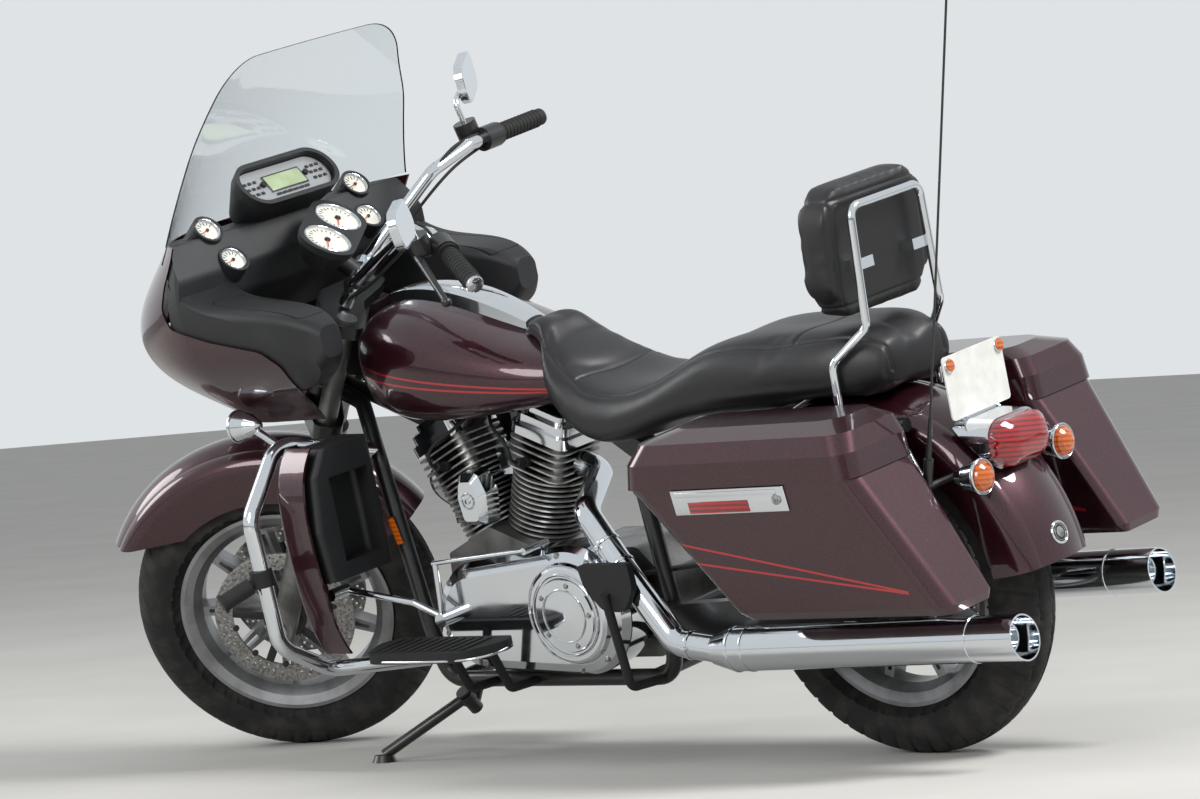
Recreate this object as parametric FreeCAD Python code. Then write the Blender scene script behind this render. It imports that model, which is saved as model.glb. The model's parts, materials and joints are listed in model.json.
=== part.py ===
"""Touring cruiser motorcycle, leaning on its side stand with the fork at its left stop.

Every piece is drawn on the upright machine first: x runs rearwards from the front axle, y to the
rider's right and z up from the ground, in millimetres. The front end is then turned to its stop,
and the whole machine is leaned over until both tyres and the stand's foot are on the floor.
"""

import math
import os

import FreeCAD
import Part
from FreeCAD import Vector

# Wheels and steering
WHEELBASE = 1613.0
FRONT_TYRE_RADIUS = 320.0
FRONT_TYRE_WIDTH = 130.0
REAR_TYRE_RADIUS = 322.0
REAR_TYRE_WIDTH = 140.0
RIM_SEAT_RADIUS = 206.0
RIM_FLANGE_RADIUS = 223.0
RIM_WIDTH = 94.0
FLANGE_WIDTH = 6.0
SPOKES = 9
TYRE_CROWN_STEPS = 8
RAKE = 26.0
STEERING_LOCK = 32.8
FORK_RAKE = 29.25
FORK_SPACING = 210.0
FORK_TUBE_RADIUS = 20.65
SLIDER_RADIUS = 26.0
FORK_TUBE_X_AT_AXLE = 8.0
AXLE_RADIUS = 12.5
AXLE_HOLE_RADIUS = 6.0
RUNNING_FIT = 0.05
DISC_RADIUS = 146.0
DISC_THICKNESS = 5.0

# Standing
LEAN = 11.0
STAND_PIVOT = (600.0, -158.0, 160.0)
STAND_FOOT_X = 470.0
STAND_FOOT_Y = -288.0
STAND_STOWED = (225.0, -10.0, -14.0)
STAND_LEG_RADIUS = 11.0

# Fits between pieces
SEAT_GAP = 0.3

# Frame tubes
TUBE_RADIUS = 16.0
HEAD_TUBE_RADIUS = 31.0
STEM_RADIUS = 17.0
HEAD_TUBE_LOW = 765.0
HEAD_TUBE_HIGH = 915.0
CRADLE_HALF_WIDTH = 115.0
CRADLE_Z = 184.0
BACKBONE_WIDTH = 48.0
REAR_RAIL_Y = 122.0
REAR_RAIL_Z = 655.0

# Engine
CRANK = (700.0, 325.0)
VEE_ANGLE = 45.0
BARREL_RADIUS = 56.0
FIN_RADIUS = 76.0
FIN_PITCH = 11.0
FIN_THICKNESS = 3.5
BARREL_FINS = 11
BARREL_START = 150.0
HEAD_FINS = 5
ROCKER_HEIGHT = 58.0
CLUTCH = (948.0, 331.0)
PRIMARY_FRONT_RADIUS = 108.0
PRIMARY_REAR_RADIUS = 128.0
PRIMARY_INNER_Y = -102.0
PRIMARY_OUTER_Y = -186.0
CASE_RIGHT_Y = 78.0
DERBY_RADIUS = 74.0

# Exhaust
MUFFLER_Y = 217.0
MUFFLER_RADIUS = 43.0
MUFFLER_START = (1370.0, 264.0)
MUFFLER_END = (2030.0, 276.0)
PIPE_RADIUS = 26.0

# Bodywork
TUNNEL_CLEARANCE = 8.0
FENDER_GAP = 62.0
FRONT_FENDER_HALF = 78.0
REAR_FENDER_HALF = 104.0
FENDER_THICKNESS = 4.0
BAG_SEAM_Z = 611.0
BAG_BOTTOM_Z = 350.0
BAG_WALL = 4.0
BAG_INNER_Y = 186.0
BAG_OUTER_Y = 386.0
LID_HEIGHT = 96.0
FAIRING_WALL = 4.5
SCREEN_THICKNESS = 4.5

# Small running gear
BELT_WIDTH = 24.0
BELT_Y = -86.0
PULLEY_RADIUS = 105.0
SPROCKET_RADIUS = 52.0
SWINGARM_PIVOT = (1150.0, 300.0)
SWINGARM_PIVOT_RADIUS = 14.0
SWINGARM_Y = 137.0
GUARD_TUBE_RADIUS = 16.0
BAR_RADIUS = 13.0
GRIP_RADIUS = 17.5
GRIP_LENGTH = 135.0
ANTENNA_TOP_Z = 1440.0

SIDES = (-1.0, 1.0)


def vec(x, y, z):
    return Vector(float(x), float(y), float(z))


def axis_at(z):
    """x of the steering axis at a height; the axle lies on the axis."""
    return (z - FRONT_TYRE_RADIUS) * math.tan(math.radians(RAKE))


def fork_x(z):
    """x of the fork tubes' centre line at a height."""
    return FORK_TUBE_X_AT_AXLE + (z - FRONT_TYRE_RADIUS) * math.tan(math.radians(FORK_RAKE))


def on_xy(z):
    return lambda a, b: vec(a, b, z)


def on_xz(y):
    return lambda a, b: vec(a, y, b)


def on_yz(x):
    return lambda a, b: vec(x, a, b)


def fuse(shapes):
    shapes = list(shapes)
    if len(shapes) == 1:
        return shapes[0]
    return shapes[0].multiFuse(shapes[1:]).removeSplitter()


def box(x0, x1, y0, y1, z0, z1):
    return Part.makeBox(x1 - x0, y1 - y0, z1 - z0, vec(x0, y0, z0))


def rod(start, end, radius, end_radius=None):
    """A round bar, or a cone where an end radius is given."""
    run = end - start
    if end_radius is None or abs(end_radius - radius) < 1e-6:
        return Part.makeCylinder(radius, run.Length, start, run)
    return Part.makeCone(radius, end_radius, run.Length, start, run)


def rounded_wire(points, radii, place):
    """A closed outline of straight edges with an arc at each corner that has a radius."""
    corners = [place(*p) for p in points]
    if not hasattr(radii, "__len__"):
        radii = [radii] * len(corners)
    arcs = []
    for i, corner in enumerate(corners):
        before = (corners[i - 1] - corner).normalize()
        after = (corners[(i + 1) % len(corners)] - corner).normalize()
        half = before.getAngle(after) / 2.0
        cut = radii[i] / math.tan(half)
        middle = (before + after).normalize() * (radii[i] / math.sin(half) - radii[i])
        arcs.append((corner + before * cut, corner + middle, corner + after * cut))
    edges = []
    for i, (start, middle, end) in enumerate(arcs):
        if radii[i] > 0:
            edges.append(Part.Arc(start, middle, end).toShape())
        following = arcs[(i + 1) % len(arcs)][0]
        if (following - end).Length > 1e-4:
            edges.append(Part.LineSegment(end, following).toShape())
    return Part.Wire(edges)


def smooth_ring(points, place):
    """A closed curve without corners through the points."""
    curve = Part.BSplineCurve()
    curve.interpolate(Points=[place(*p) for p in points], PeriodicFlag=True)
    return Part.Wire(curve.toShape())


def prism(points, radii, place, run):
    return Part.Face(rounded_wire(points, radii, place)).extrude(run)


def loft(wires, ruled=False):
    return Part.makeLoft(wires, True, ruled)


def bent_path(points, bend):
    """Straight runs joined by tangent arcs of one bend radius."""
    edges = []
    start = points[0]
    for before, corner, after in zip(points, points[1:], points[2:]):
        arriving = (corner - before).normalize()
        leaving = (after - corner).normalize()
        half = arriving.getAngle(leaving) / 2.0
        first = corner - arriving * (bend * math.tan(half))
        last = corner + leaving * (bend * math.tan(half))
        inwards = (leaving - arriving).normalize()
        middle = corner + inwards * (bend / math.cos(half) - bend)
        if (first - start).Length > 1e-4:
            edges.append(Part.LineSegment(start, first).toShape())
        edges.append(Part.Arc(first, middle, last).toShape())
        start = last
    edges.append(Part.LineSegment(start, points[-1]).toShape())
    return Part.Wire(edges)


def bent_tube(points, radius, bend):
    points = [vec(*p) for p in points]
    path = bent_path(points, bend)
    ring = Part.Wire(Part.Circle(points[0], points[1] - points[0], radius).toShape())
    return path.makePipe(Part.Face(ring))


def revolved(points, centre, axis=(0, 1, 0), angle=360.0, start=0.0):
    """A closed profile of (across, radius) points turned about an axle that runs across."""
    centre = vec(*centre)
    wire = Part.makePolygon([centre + vec(0, a, r) for a, r in points + points[:1]])
    solid = Part.Face(wire).revolve(centre, vec(*axis), angle)
    if start:
        solid.rotate(centre, vec(*axis), start)
    return solid


def mirrored(shape):
    return shape.mirror(vec(0, 0, 0), vec(0, 1, 0))


def spun(shape, centre, count, axis=(0, 1, 0)):
    copies = []
    for i in range(count):
        copy = shape.copy()
        copy.rotate(vec(*centre), vec(*axis), 360.0 * i / count)
        copies.append(copy)
    return copies


# Wheels

def tyre_profile(radius, width):
    """Points (across, radius) round the section: a round crown, the flanks and the seat on the rim."""
    half = width / 2.0
    lip = RIM_FLANGE_RADIUS + 1.0
    drop = half * 0.9
    shoulder = radius - drop
    crown = (half * half + drop * drop) / (2.0 * drop)
    reach = math.asin(half / crown)
    bead = RIM_WIDTH / 2.0 - FLANGE_WIDTH - SEAT_GAP
    points = []
    for i in range(TYRE_CROWN_STEPS + 1):
        angle = reach * (2.0 * i / TYRE_CROWN_STEPS - 1.0)
        points.append((crown * math.sin(angle), radius - crown + crown * math.cos(angle)))
    flank = [(half * 0.96, (lip + shoulder) / 2.0), (bead, lip), (bead, RIM_SEAT_RADIUS + SEAT_GAP)]
    return points + flank + [(-across, r) for across, r in reversed(flank)]


def tyre(centre, radius, width):
    """A closed ring seated between the rim's flanges."""
    return revolved(tyre_profile(radius, width), centre)


def cast_wheel(centre, hub_half, hub_radius):
    """Rim, hub and slotted spokes in one casting, bored for the axle."""
    half = RIM_WIDTH / 2.0
    seat, flange = RIM_SEAT_RADIUS, RIM_FLANGE_RADIUS
    well = seat - 14.0
    profile = [
        (-half, flange - 8), (-half, flange), (-half + FLANGE_WIDTH - 1, flange),
        (-half + FLANGE_WIDTH, seat),
        (-half + 22, seat), (-half + 28, well), (half - 28, well), (half - 22, seat),
        (half - FLANGE_WIDTH, seat),
        (half - FLANGE_WIDTH + 1, flange), (half, flange), (half, flange - 8), (half - 8, seat - 8),
        (half - 26, well - 9),
        (-half + 26, well - 9), (-half + 8, seat - 8),
    ]
    rim = revolved(profile, centre)
    hub = revolved([(-hub_half, AXLE_RADIUS + RUNNING_FIT), (-hub_half, hub_radius * 0.62),
                    (-hub_half * 0.6, hub_radius), (hub_half * 0.6, hub_radius),
                    (hub_half, hub_radius * 0.62), (hub_half, AXLE_RADIUS + RUNNING_FIT)], centre)
    x, y, z = centre
    inner, outer = hub_radius - 6, well - 6
    spoke = prism([(-17, inner), (17, inner), (10, outer), (-10, outer)], 0,
                  lambda a, r: vec(x + a, y - 19, z + r), vec(0, 38, 0))
    slot = prism([(-6, inner + 22), (6, inner + 22), (4, outer - 16), (-4, outer - 16)], 0,
                 lambda a, r: vec(x + a, y - 20, z + r), vec(0, 40, 0))
    spoke = spoke.cut(slot)
    return fuse([rim, hub] + spun(spoke, centre, SPOKES))


def brake_disc(centre, side, inner_face, bore):
    """A ring with a five-armed carrier, seated on the hub's end."""
    x, _, z = centre
    y = side * inner_face
    run = vec(0, side * DISC_THICKNESS, 0)
    c = vec(x, y, z)
    ring = Part.makeCylinder(DISC_RADIUS, DISC_THICKNESS, c, run)
    ring = ring.cut(Part.makeCylinder(DISC_RADIUS - 38, DISC_THICKNESS, c, run))
    carrier = Part.makeCylinder(48, DISC_THICKNESS, c, run)
    arm = prism([(-13, 30), (13, 30), (8, DISC_RADIUS - 32), (-8, DISC_RADIUS - 32)], 0,
                lambda a, r: vec(x + a, y, z + r), run)
    whole = fuse([ring, carrier] + spun(arm, (x, y, z), 5))
    return whole.cut(Part.makeCylinder(bore, DISC_THICKNESS, c, run))


FRONT_CENTRE = (0.0, 0.0, FRONT_TYRE_RADIUS)
REAR_CENTRE = (WHEELBASE, 0.0, REAR_TYRE_RADIUS)
FRONT_HUB_HALF = 66.0
REAR_HUB_HALF = 70.0


def front_tyre():
    return tyre(FRONT_CENTRE, FRONT_TYRE_RADIUS, FRONT_TYRE_WIDTH)


def rear_tyre():
    return tyre(REAR_CENTRE, REAR_TYRE_RADIUS, REAR_TYRE_WIDTH)


def front_wheel():
    return cast_wheel(FRONT_CENTRE, FRONT_HUB_HALF, 44.0)


def rear_wheel():
    return cast_wheel(REAR_CENTRE, REAR_HUB_HALF, 52.0)


def front_discs():
    return Part.makeCompound([brake_disc(FRONT_CENTRE, s, FRONT_HUB_HALF, 14.0) for s in SIDES])


def rear_disc():
    return brake_disc(REAR_CENTRE, 1.0, REAR_HUB_HALF, 14.0)


def rear_pulley():
    """The toothed pulley's drum on the left end of the hub, with one flange."""
    x, _, z = REAR_CENTRE
    inner = -REAR_HUB_HALF
    outer = BELT_Y - BELT_WIDTH / 2.0 - 2.0
    drum = revolved([(inner, 30), (inner, PULLEY_RADIUS), (outer + 1.7, PULLEY_RADIUS),
                     (outer + 1.7, PULLEY_RADIUS + 6), (outer, PULLEY_RADIUS + 6),
                     (outer, PULLEY_RADIUS - 12),
                     (inner - 8, PULLEY_RADIUS - 18), (inner - 8, 30)], REAR_CENTRE)
    return drum


# Fork and handlebar, drawn straight ahead

def fork_legs():
    """Sliders that hold the axle, upper tubes and the axle itself."""
    low_z, slider_top, tube_top = FRONT_TYRE_RADIUS - 38, 640.0, 938.0
    pieces = []
    for side in SIDES:
        y = side * FORK_SPACING / 2
        foot = vec(fork_x(low_z), y, low_z)
        pieces.append(rod(foot, vec(fork_x(slider_top), y, slider_top), SLIDER_RADIUS))
        pieces.append(rod(vec(fork_x(low_z + 40), y, low_z + 40), vec(fork_x(tube_top), y, tube_top),
                          FORK_TUBE_RADIUS))
        pieces.append(rod(vec(0, y - 24, FRONT_TYRE_RADIUS), vec(0, y + 24, FRONT_TYRE_RADIUS), 27))
    reach = FORK_SPACING / 2 + 30
    legs = fuse(pieces + [rod(vec(0, -reach, FRONT_TYRE_RADIUS), vec(0, reach, FRONT_TYRE_RADIUS),
                              AXLE_RADIUS)])
    return legs.cut(rod(vec(0, -reach - 5, FRONT_TYRE_RADIUS), vec(0, reach + 5, FRONT_TYRE_RADIUS),
                        AXLE_HOLE_RADIUS))


def clamp_plate(z, height):
    """One triple clamp: its stem eye is ahead of the two fork tubes."""
    half = FORK_SPACING / 2
    tilt = math.radians(RAKE)
    ahead, behind = axis_at(z), fork_x(z)
    outline = [(ahead - 26, -24), (behind - 22, -half - 32), (behind + 28, -half - 32),
               (behind + 24, -half + 22), (behind + 6, 0), (behind + 24, half - 22),
               (behind + 28, half + 32), (behind - 22, half + 32), (ahead - 26, 24)]
    return prism(outline, [12, 18, 18, 10, 20, 10, 18, 18, 12],
                 lambda a, b: vec(a, b, z - (a - ahead) * math.tan(tilt) * 0.9),
                 vec(height * math.sin(tilt), 0, height * math.cos(tilt)))


def triple_clamps():
    tube_clearance = FORK_TUBE_RADIUS
    low = clamp_plate(HEAD_TUBE_LOW - 46, 34.0)
    high = clamp_plate(HEAD_TUBE_HIGH + 12, 26.0)
    plates = []
    for plate in (low, high):
        for side in SIDES:
            y = side * FORK_SPACING / 2
            plate = plate.cut(rod(vec(fork_x(600), y, 600), vec(fork_x(1040), y, 1040), tube_clearance))
        plates.append(plate)
    stem = rod(vec(axis_at(HEAD_TUBE_LOW - 30), 0, HEAD_TUBE_LOW - 30),
               vec(axis_at(HEAD_TUBE_HIGH + 22), 0, HEAD_TUBE_HIGH + 22), STEM_RADIUS - RUNNING_FIT)
    return fuse(plates + [stem])


BAR_CENTRE = (374.0, 0.0, 982.0)
GRIP_END = (717.0, 436.0, 1067.0)
BAR_ELBOW = (612.0, 238.0, 1112.0)


def bar_points(side):
    x, _, z = BAR_CENTRE
    return [(x, side * 60, z), (x + 6, side * 78, z + 4), (x + 172, side * 150, z + 124),
            (BAR_ELBOW[0], side * BAR_ELBOW[1], BAR_ELBOW[2]), (GRIP_END[0], side * GRIP_END[1], GRIP_END[2])]


def bar_direction(side):
    elbow = vec(BAR_ELBOW[0], side * BAR_ELBOW[1], BAR_ELBOW[2])
    end = vec(GRIP_END[0], side * GRIP_END[1], GRIP_END[2])
    return elbow, end, (end - elbow).normalize()


def handlebar():
    left = bar_points(-1.0)
    right = bar_points(1.0)
    path = [left[4], left[3], left[2], (left[0][0], left[0][1], left[0][2]),
            (right[0][0], right[0][1], right[0][2]), right[2], right[3], right[4]]
    bar = bent_tube(path, BAR_RADIUS, 42.0)
    x, _, z = BAR_CENTRE
    base = HEAD_TUBE_HIGH + 22
    risers = [rod(vec(x - 34, s * 38, base + 4), vec(x, s * 38, z), 15) for s in SIDES]
    caps = [rod(vec(x, s * 38 - 17, z), vec(x, s * 38 + 17, z), 21) for s in SIDES]
    return fuse([bar] + risers + caps)


def grips():
    pieces = []
    for side in SIDES:
        _, end, run = bar_direction(side)
        sleeve = rod(end - run * GRIP_LENGTH, end + run * 6, GRIP_RADIUS)
        sleeve = sleeve.fuse(rod(end - run * (GRIP_LENGTH + 4), end - run * (GRIP_LENGTH - 4),
                                 GRIP_RADIUS + 5))
        core = rod(end - run * (GRIP_LENGTH + 8), end, BAR_RADIUS)
        pieces.append(sleeve.removeSplitter().cut(core))
    return Part.makeCompound(pieces)


def switchgear():
    """Switch housings, lever brackets and levers at both ends of the bar."""
    pieces = []
    for side in SIDES:
        _, end, run = bar_direction(side)
        ahead = vec(-run.y * side, run.x * side, 0).normalize()
        if ahead.x > 0:
            ahead = ahead * -1
        inner = end - run * (GRIP_LENGTH + 50)
        housing = rod(inner, end - run * (GRIP_LENGTH + 4.5), 25)
        bracket_start = inner + ahead * 8 + run * 10
        bracket = rod(bracket_start, bracket_start + ahead * 44 + vec(0, 0, 6), 13)
        reservoir = rod(bracket_start + ahead * 30 + vec(0, 0, 4),
                        bracket_start + ahead * 34 + vec(0, 0, 38), 24)
        knuckle = bracket_start + ahead * 44 + vec(0, 0, 2)
        tip = end + ahead * 62 + vec(0, 0, -14)
        lever = rod(knuckle, tip, 9, 6)
        ball = Part.makeSphere(10, tip)
        pieces.append(fuse([housing, bracket, reservoir, lever, ball]).cut(
            rod(inner - run * 5, end, BAR_RADIUS)))
    return Part.makeCompound(pieces)


def mirrors():
    """Oval mirrors on bent stems that rise from the lever brackets."""
    pieces = []
    for side in SIDES:
        _, end, run = bar_direction(side)
        ahead = vec(-run.y * side, run.x * side, 0).normalize()
        if ahead.x > 0:
            ahead = ahead * -1
        inner = end - run * (GRIP_LENGTH + 50)
        rise = (ahead * 4 + vec(0, 0, 34)).normalize()
        root = inner + ahead * 42 + run * 10 + vec(0, 0, 38) + rise * SEAT_GAP
        elbow = root + rise * 46
        top = vec(606, side * 392, 1196)
        stem = bent_tube([(root.x, root.y, root.z), (elbow.x, elbow.y, elbow.z), (top.x, top.y, top.z)], 6.0,
                         20.0)
        head = prism([(-68, -38), (62, -46), (72, 34), (-44, 44)], [30, 34, 30, 34],
                     lambda a, b: top + vec(-6, side * a, 6 + b + a * 0.12), vec(16, 0, 0))
        pieces.append(fuse([stem, head]))
    return Part.makeCompound(pieces)


def gauge_pod():
    """Two large dials in a hooded pod over the clamp, which turns with the bars."""
    centre = vec(352, 0, 1086)
    facing = vec(math.cos(math.radians(52)), 0, math.sin(math.radians(52)))
    side_up = vec(-facing.z, 0, facing.x)

    def place(depth):
        return lambda a, b: centre + facing * depth + vec(0, a, 0) + side_up * b

    cup = loft([rounded_wire([(-70, -34), (70, -34), (70, 34), (-70, 34)], 30, place(-58)),
                rounded_wire([(-116, -58), (116, -58), (116, 58), (-116, 58)], 54, place(-6)),
                rounded_wire([(-118, -60), (118, -60), (118, 60), (-118, 60)], 56, place(8))], ruled=True)
    recess = [Part.makeCylinder(50, 20, centre + facing * 2 + vec(0, s * 57, 0), facing) for s in SIDES]
    x, _, z = BAR_CENTRE
    neck = rod(vec(x - 4, 0, z + 8), centre - facing * 40, 18)
    pod = fuse([cup, neck]).cut(rod(vec(x, -60, z), vec(x, 60, z), BAR_RADIUS + SEAT_GAP))
    for hole in recess:
        pod = pod.cut(hole)
    return pod


def front_calipers():
    pieces = []
    for side in SIDES:
        y = side * (FRONT_HUB_HALF + DISC_THICKNESS / 2)
        inner, outer = FRONT_HUB_HALF - 16, FORK_SPACING / 2 - SLIDER_RADIUS + 6
        low, high = sorted((side * inner, side * outer))
        body = prism([(66, 400), (108, 372), (138, 420), (140, 476), (96, 492)], [10, 16, 20, 16, 10],
                     on_xz(low), vec(0, high - low, 0))
        slit_low, slit_high = sorted((side * (FRONT_HUB_HALF - 5.5),
                                      side * (FRONT_HUB_HALF + DISC_THICKNESS + 5.5)))
        slit = Part.makeCylinder(DISC_RADIUS + 6, slit_high - slit_low,
                                 vec(0, slit_low, FRONT_TYRE_RADIUS), vec(0, 1, 0))
        body = body.cut(slit)
        slider = rod(vec(fork_x(200), side * FORK_SPACING / 2, 200),
                     vec(fork_x(700), side * FORK_SPACING / 2, 700),
                     SLIDER_RADIUS)
        pieces.append(body.cut(slider))
    return Part.makeCompound(pieces)


def wheel_cover(centre, radius, half_width, rise, corner, skirt, start, sweep):
    """A fender: a crowned band turned about the axle, with side skirts."""
    t = FENDER_THICKNESS
    c = vec(*centre)

    def at(across, r):
        return c + vec(0, across, r)

    def rim(r, half, low):
        shoulder = r - rise
        bevel = corner * 0.7071
        return [at(-half, low), at(-half, shoulder - corner),
                at(-half + corner - bevel, shoulder - corner + bevel),
                at(-half + corner, shoulder), at(0, r), at(half - corner, shoulder),
                at(half - corner + bevel, shoulder - corner + bevel), at(half, shoulder - corner),
                at(half, low)]

    a = rim(radius, half_width, skirt)
    b = rim(radius - t, half_width - t, skirt)
    edges = [Part.LineSegment(a[0], b[0]).toShape(), Part.LineSegment(a[8], b[8]).toShape()]
    for p in (a, b):
        edges += [Part.LineSegment(p[0], p[1]).toShape(), Part.Arc(p[1], p[2], p[3]).toShape(),
                  Part.Arc(p[3], p[4], p[5]).toShape(), Part.Arc(p[5], p[6], p[7]).toShape(),
                  Part.LineSegment(p[7], p[8]).toShape()]
    wire = Part.Wire(Part.sortEdges(edges)[0])
    band = Part.Face(wire).revolve(c, vec(0, 1, 0), sweep)
    band.rotate(c, vec(0, 1, 0), start)
    return band


def front_fender():
    """Full-coverage fender with its struts to the sliders."""
    radius = FRONT_TYRE_RADIUS + FENDER_GAP
    band = wheel_cover(FRONT_CENTRE, radius, FRONT_FENDER_HALF, 14.0, 34.0, 262.0, -59.0, 124.0)
    rear = prism([(-420, 300), (-420, 545), (-150, 540), (40, 516), (250, 470), (420, 300)],
                 [0, 0, 40, 60, 0, 0], on_xz(-200), vec(0, 400, 0))
    band = band.cut(rear)
    struts = []
    for side in SIDES:
        z = 560.0
        low, high = sorted((side * (FRONT_FENDER_HALF - 1.0), side * (FORK_SPACING / 2 - SLIDER_RADIUS + 2)))
        struts.append(box(fork_x(z) - 26, fork_x(z) + 26, low, high, z - 22, z + 22).cut(
            rod(vec(fork_x(300), side * FORK_SPACING / 2, 300),
                vec(fork_x(700), side * FORK_SPACING / 2, 700),
                SLIDER_RADIUS)))
    return fuse([band] + struts)


# Frame and running gear

def frame():
    """Twin-downtube cradle: head tube, backbone, downtubes, bottom rails, seat rails and rear rails."""
    head = rod(vec(axis_at(HEAD_TUBE_LOW), 0, HEAD_TUBE_LOW), vec(axis_at(HEAD_TUBE_HIGH), 0, HEAD_TUBE_HIGH),
               HEAD_TUBE_RADIUS)
    bore = rod(vec(axis_at(HEAD_TUBE_LOW - 20), 0, HEAD_TUBE_LOW - 20),
               vec(axis_at(HEAD_TUBE_HIGH + 20), 0, HEAD_TUBE_HIGH + 20), STEM_RADIUS)
    half = BACKBONE_WIDTH / 2
    backbone = prism([(axis_at(850), 800), (axis_at(850), 885), (520, 846), (850, 756), (930, 716),
                      (1140, 566),
                      (1116, 534), (900, 690), (800, 722), (520, 776)],
                     [0, 0, 60, 30, 30, 0, 0, 60, 60, 60], on_xz(-half), vec(0, BACKBONE_WIDTH, 0))
    pieces = [head, backbone]
    w = CRADLE_HALF_WIDTH
    for side in SIDES:
        pieces.append(bent_tube([(axis_at(790), side * 14, 790), (352, side * 24, 735),
                                 (446, side * 104, 640),
                                 (500, side * w, 300),
                                 (524, side * w, CRADLE_Z), (1116, side * (w + 3), CRADLE_Z),
                                 (1150, side * (w + 5), 330), (1132, side * (w + 5), 590)], TUBE_RADIUS,
                                 48.0))
        pieces.append(bent_tube([(1120, side * (w + 3), 545), (1240, side * REAR_RAIL_Y, REAR_RAIL_Z - 8),
                                 (1790, side * REAR_RAIL_Y, REAR_RAIL_Z - 8)], TUBE_RADIUS - 3, 48.0))
    for x, z in ((540, CRADLE_Z), (1060, CRADLE_Z)):
        pieces.append(rod(vec(x, -w, z), vec(x, w, z), TUBE_RADIUS - 3))
    pieces.append(rod(vec(SWINGARM_PIVOT[0], -w - 8, SWINGARM_PIVOT[1]),
                      vec(SWINGARM_PIVOT[0], w + 8, SWINGARM_PIVOT[1]), 20))
    pieces.append(rod(vec(1134, -w, 572), vec(1134, w, 572), 14))
    pieces.append(bent_tube([(axis_at(850) - 14, 0, 850), (118, 0, 872), (140, 0, 1035), (224.4, 0, 1035)],
                            14.0, 40.0))
    tunnel_side = BACKBONE_WIDTH / 2 + TUNNEL_CLEARANCE - SEAT_GAP
    for x, z in ((520, 812), (800, 745)):
        pieces.append(rod(vec(x, -tunnel_side, z), vec(x, tunnel_side, z), 10))
    for side in SIDES:
        for x in (1560, 1690):
            pieces.append(rod(vec(x, side * (REAR_FENDER_HALF + SEAT_GAP), 640), vec(x, side * 116, 640), 8))
    px, pz = SWINGARM_PIVOT
    return fuse(pieces).cut(bore).cut(rod(vec(px, -w - 30, pz), vec(px, w + 30, pz),
                                          SWINGARM_PIVOT_RADIUS + SEAT_GAP))


def swingarm():
    """Two box arms with the rear axle through their ends."""
    px, pz = SWINGARM_PIVOT
    ax, az = REAR_CENTRE[0], REAR_CENTRE[2]
    pieces = []
    for side in SIDES:
        low, high = sorted((side * SWINGARM_Y, side * (SWINGARM_Y + 26)))
        pieces.append(prism([(px - 26, pz - 30), (ax + 10, az - 30), (ax + 62, az - 22), (ax + 62, az + 22),
                             (ax + 10, az + 30), (px - 26, pz + 34)], [12, 20, 10, 10, 20, 12],
                            on_xz(low), vec(0, high - low, 0)))
    reach = SWINGARM_Y + 34
    axle = rod(vec(ax, -reach, az), vec(ax, reach, az), AXLE_RADIUS)
    pivot = rod(vec(px, -SWINGARM_Y - 20, pz), vec(px, SWINGARM_Y + 20, pz), SWINGARM_PIVOT_RADIUS)
    whole = fuse(pieces + [axle, pivot])
    return whole.cut(rod(vec(ax, -reach - 5, az), vec(ax, reach + 5, az), AXLE_HOLE_RADIUS))


def shock_absorbers():
    pieces = []
    for side in SIDES:
        y = side * (SWINGARM_Y + 26 + 3)
        low, high = vec(1560, y, 352), vec(1464, y - side * 6, 622)
        run = (high - low).normalize()
        pieces.append(fuse([
            rod(low, high, 9), rod(low + run * 60, low + run * 215, 23),
            rod(low + run * 205, high - run * 20, 19),
            rod(low - vec(0, side * 3, 0), low + vec(0, side * 16, 0), 16),
            rod(high - vec(0, side * 18, 0), high + vec(0, side * 10, 0), 15)]))
    return Part.makeCompound(pieces)


def drive_belt():
    """A closed belt round the rear pulley and the gearbox sprocket."""
    x1, z1 = 1000.0, 318.0
    x2, z2 = REAR_CENTRE[0], REAR_CENTRE[2]
    y = BELT_Y - BELT_WIDTH / 2

    def loop(grow):
        rear = Part.makeCylinder(PULLEY_RADIUS + grow, BELT_WIDTH, vec(x2, y, z2), vec(0, 1, 0))
        front = Part.makeCylinder(SPROCKET_RADIUS + grow, BELT_WIDTH, vec(x1, y, z1), vec(0, 1, 0))
        distance = math.hypot(x2 - x1, z2 - z1)
        lift = math.atan2(z2 - z1, x2 - x1)
        spread = math.asin((PULLEY_RADIUS - SPROCKET_RADIUS) / distance)
        corners = []
        for sign in (1, -1):
            around = lift + sign * (math.pi / 2 + spread)
            corners.append((x1 + (SPROCKET_RADIUS + grow) * math.cos(around),
                            z1 + (SPROCKET_RADIUS + grow) * math.sin(around)))
            corners.append((x2 + (PULLEY_RADIUS + grow) * math.cos(around),
                            z2 + (PULLEY_RADIUS + grow) * math.sin(around)))
        web = prism([corners[0], corners[1], corners[3], corners[2]], 0, on_xz(y), vec(0, BELT_WIDTH, 0))
        return fuse([rear, front, web])

    return loop(7.0).cut(loop(SEAT_GAP))


# Engine

def cylinder_axes():
    """Direction of each cylinder from the crank: front one first."""
    half = math.radians(VEE_ANGLE / 2)
    return [vec(-math.sin(half), 0, math.cos(half)), vec(math.sin(half), 0, math.cos(half))]


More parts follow.
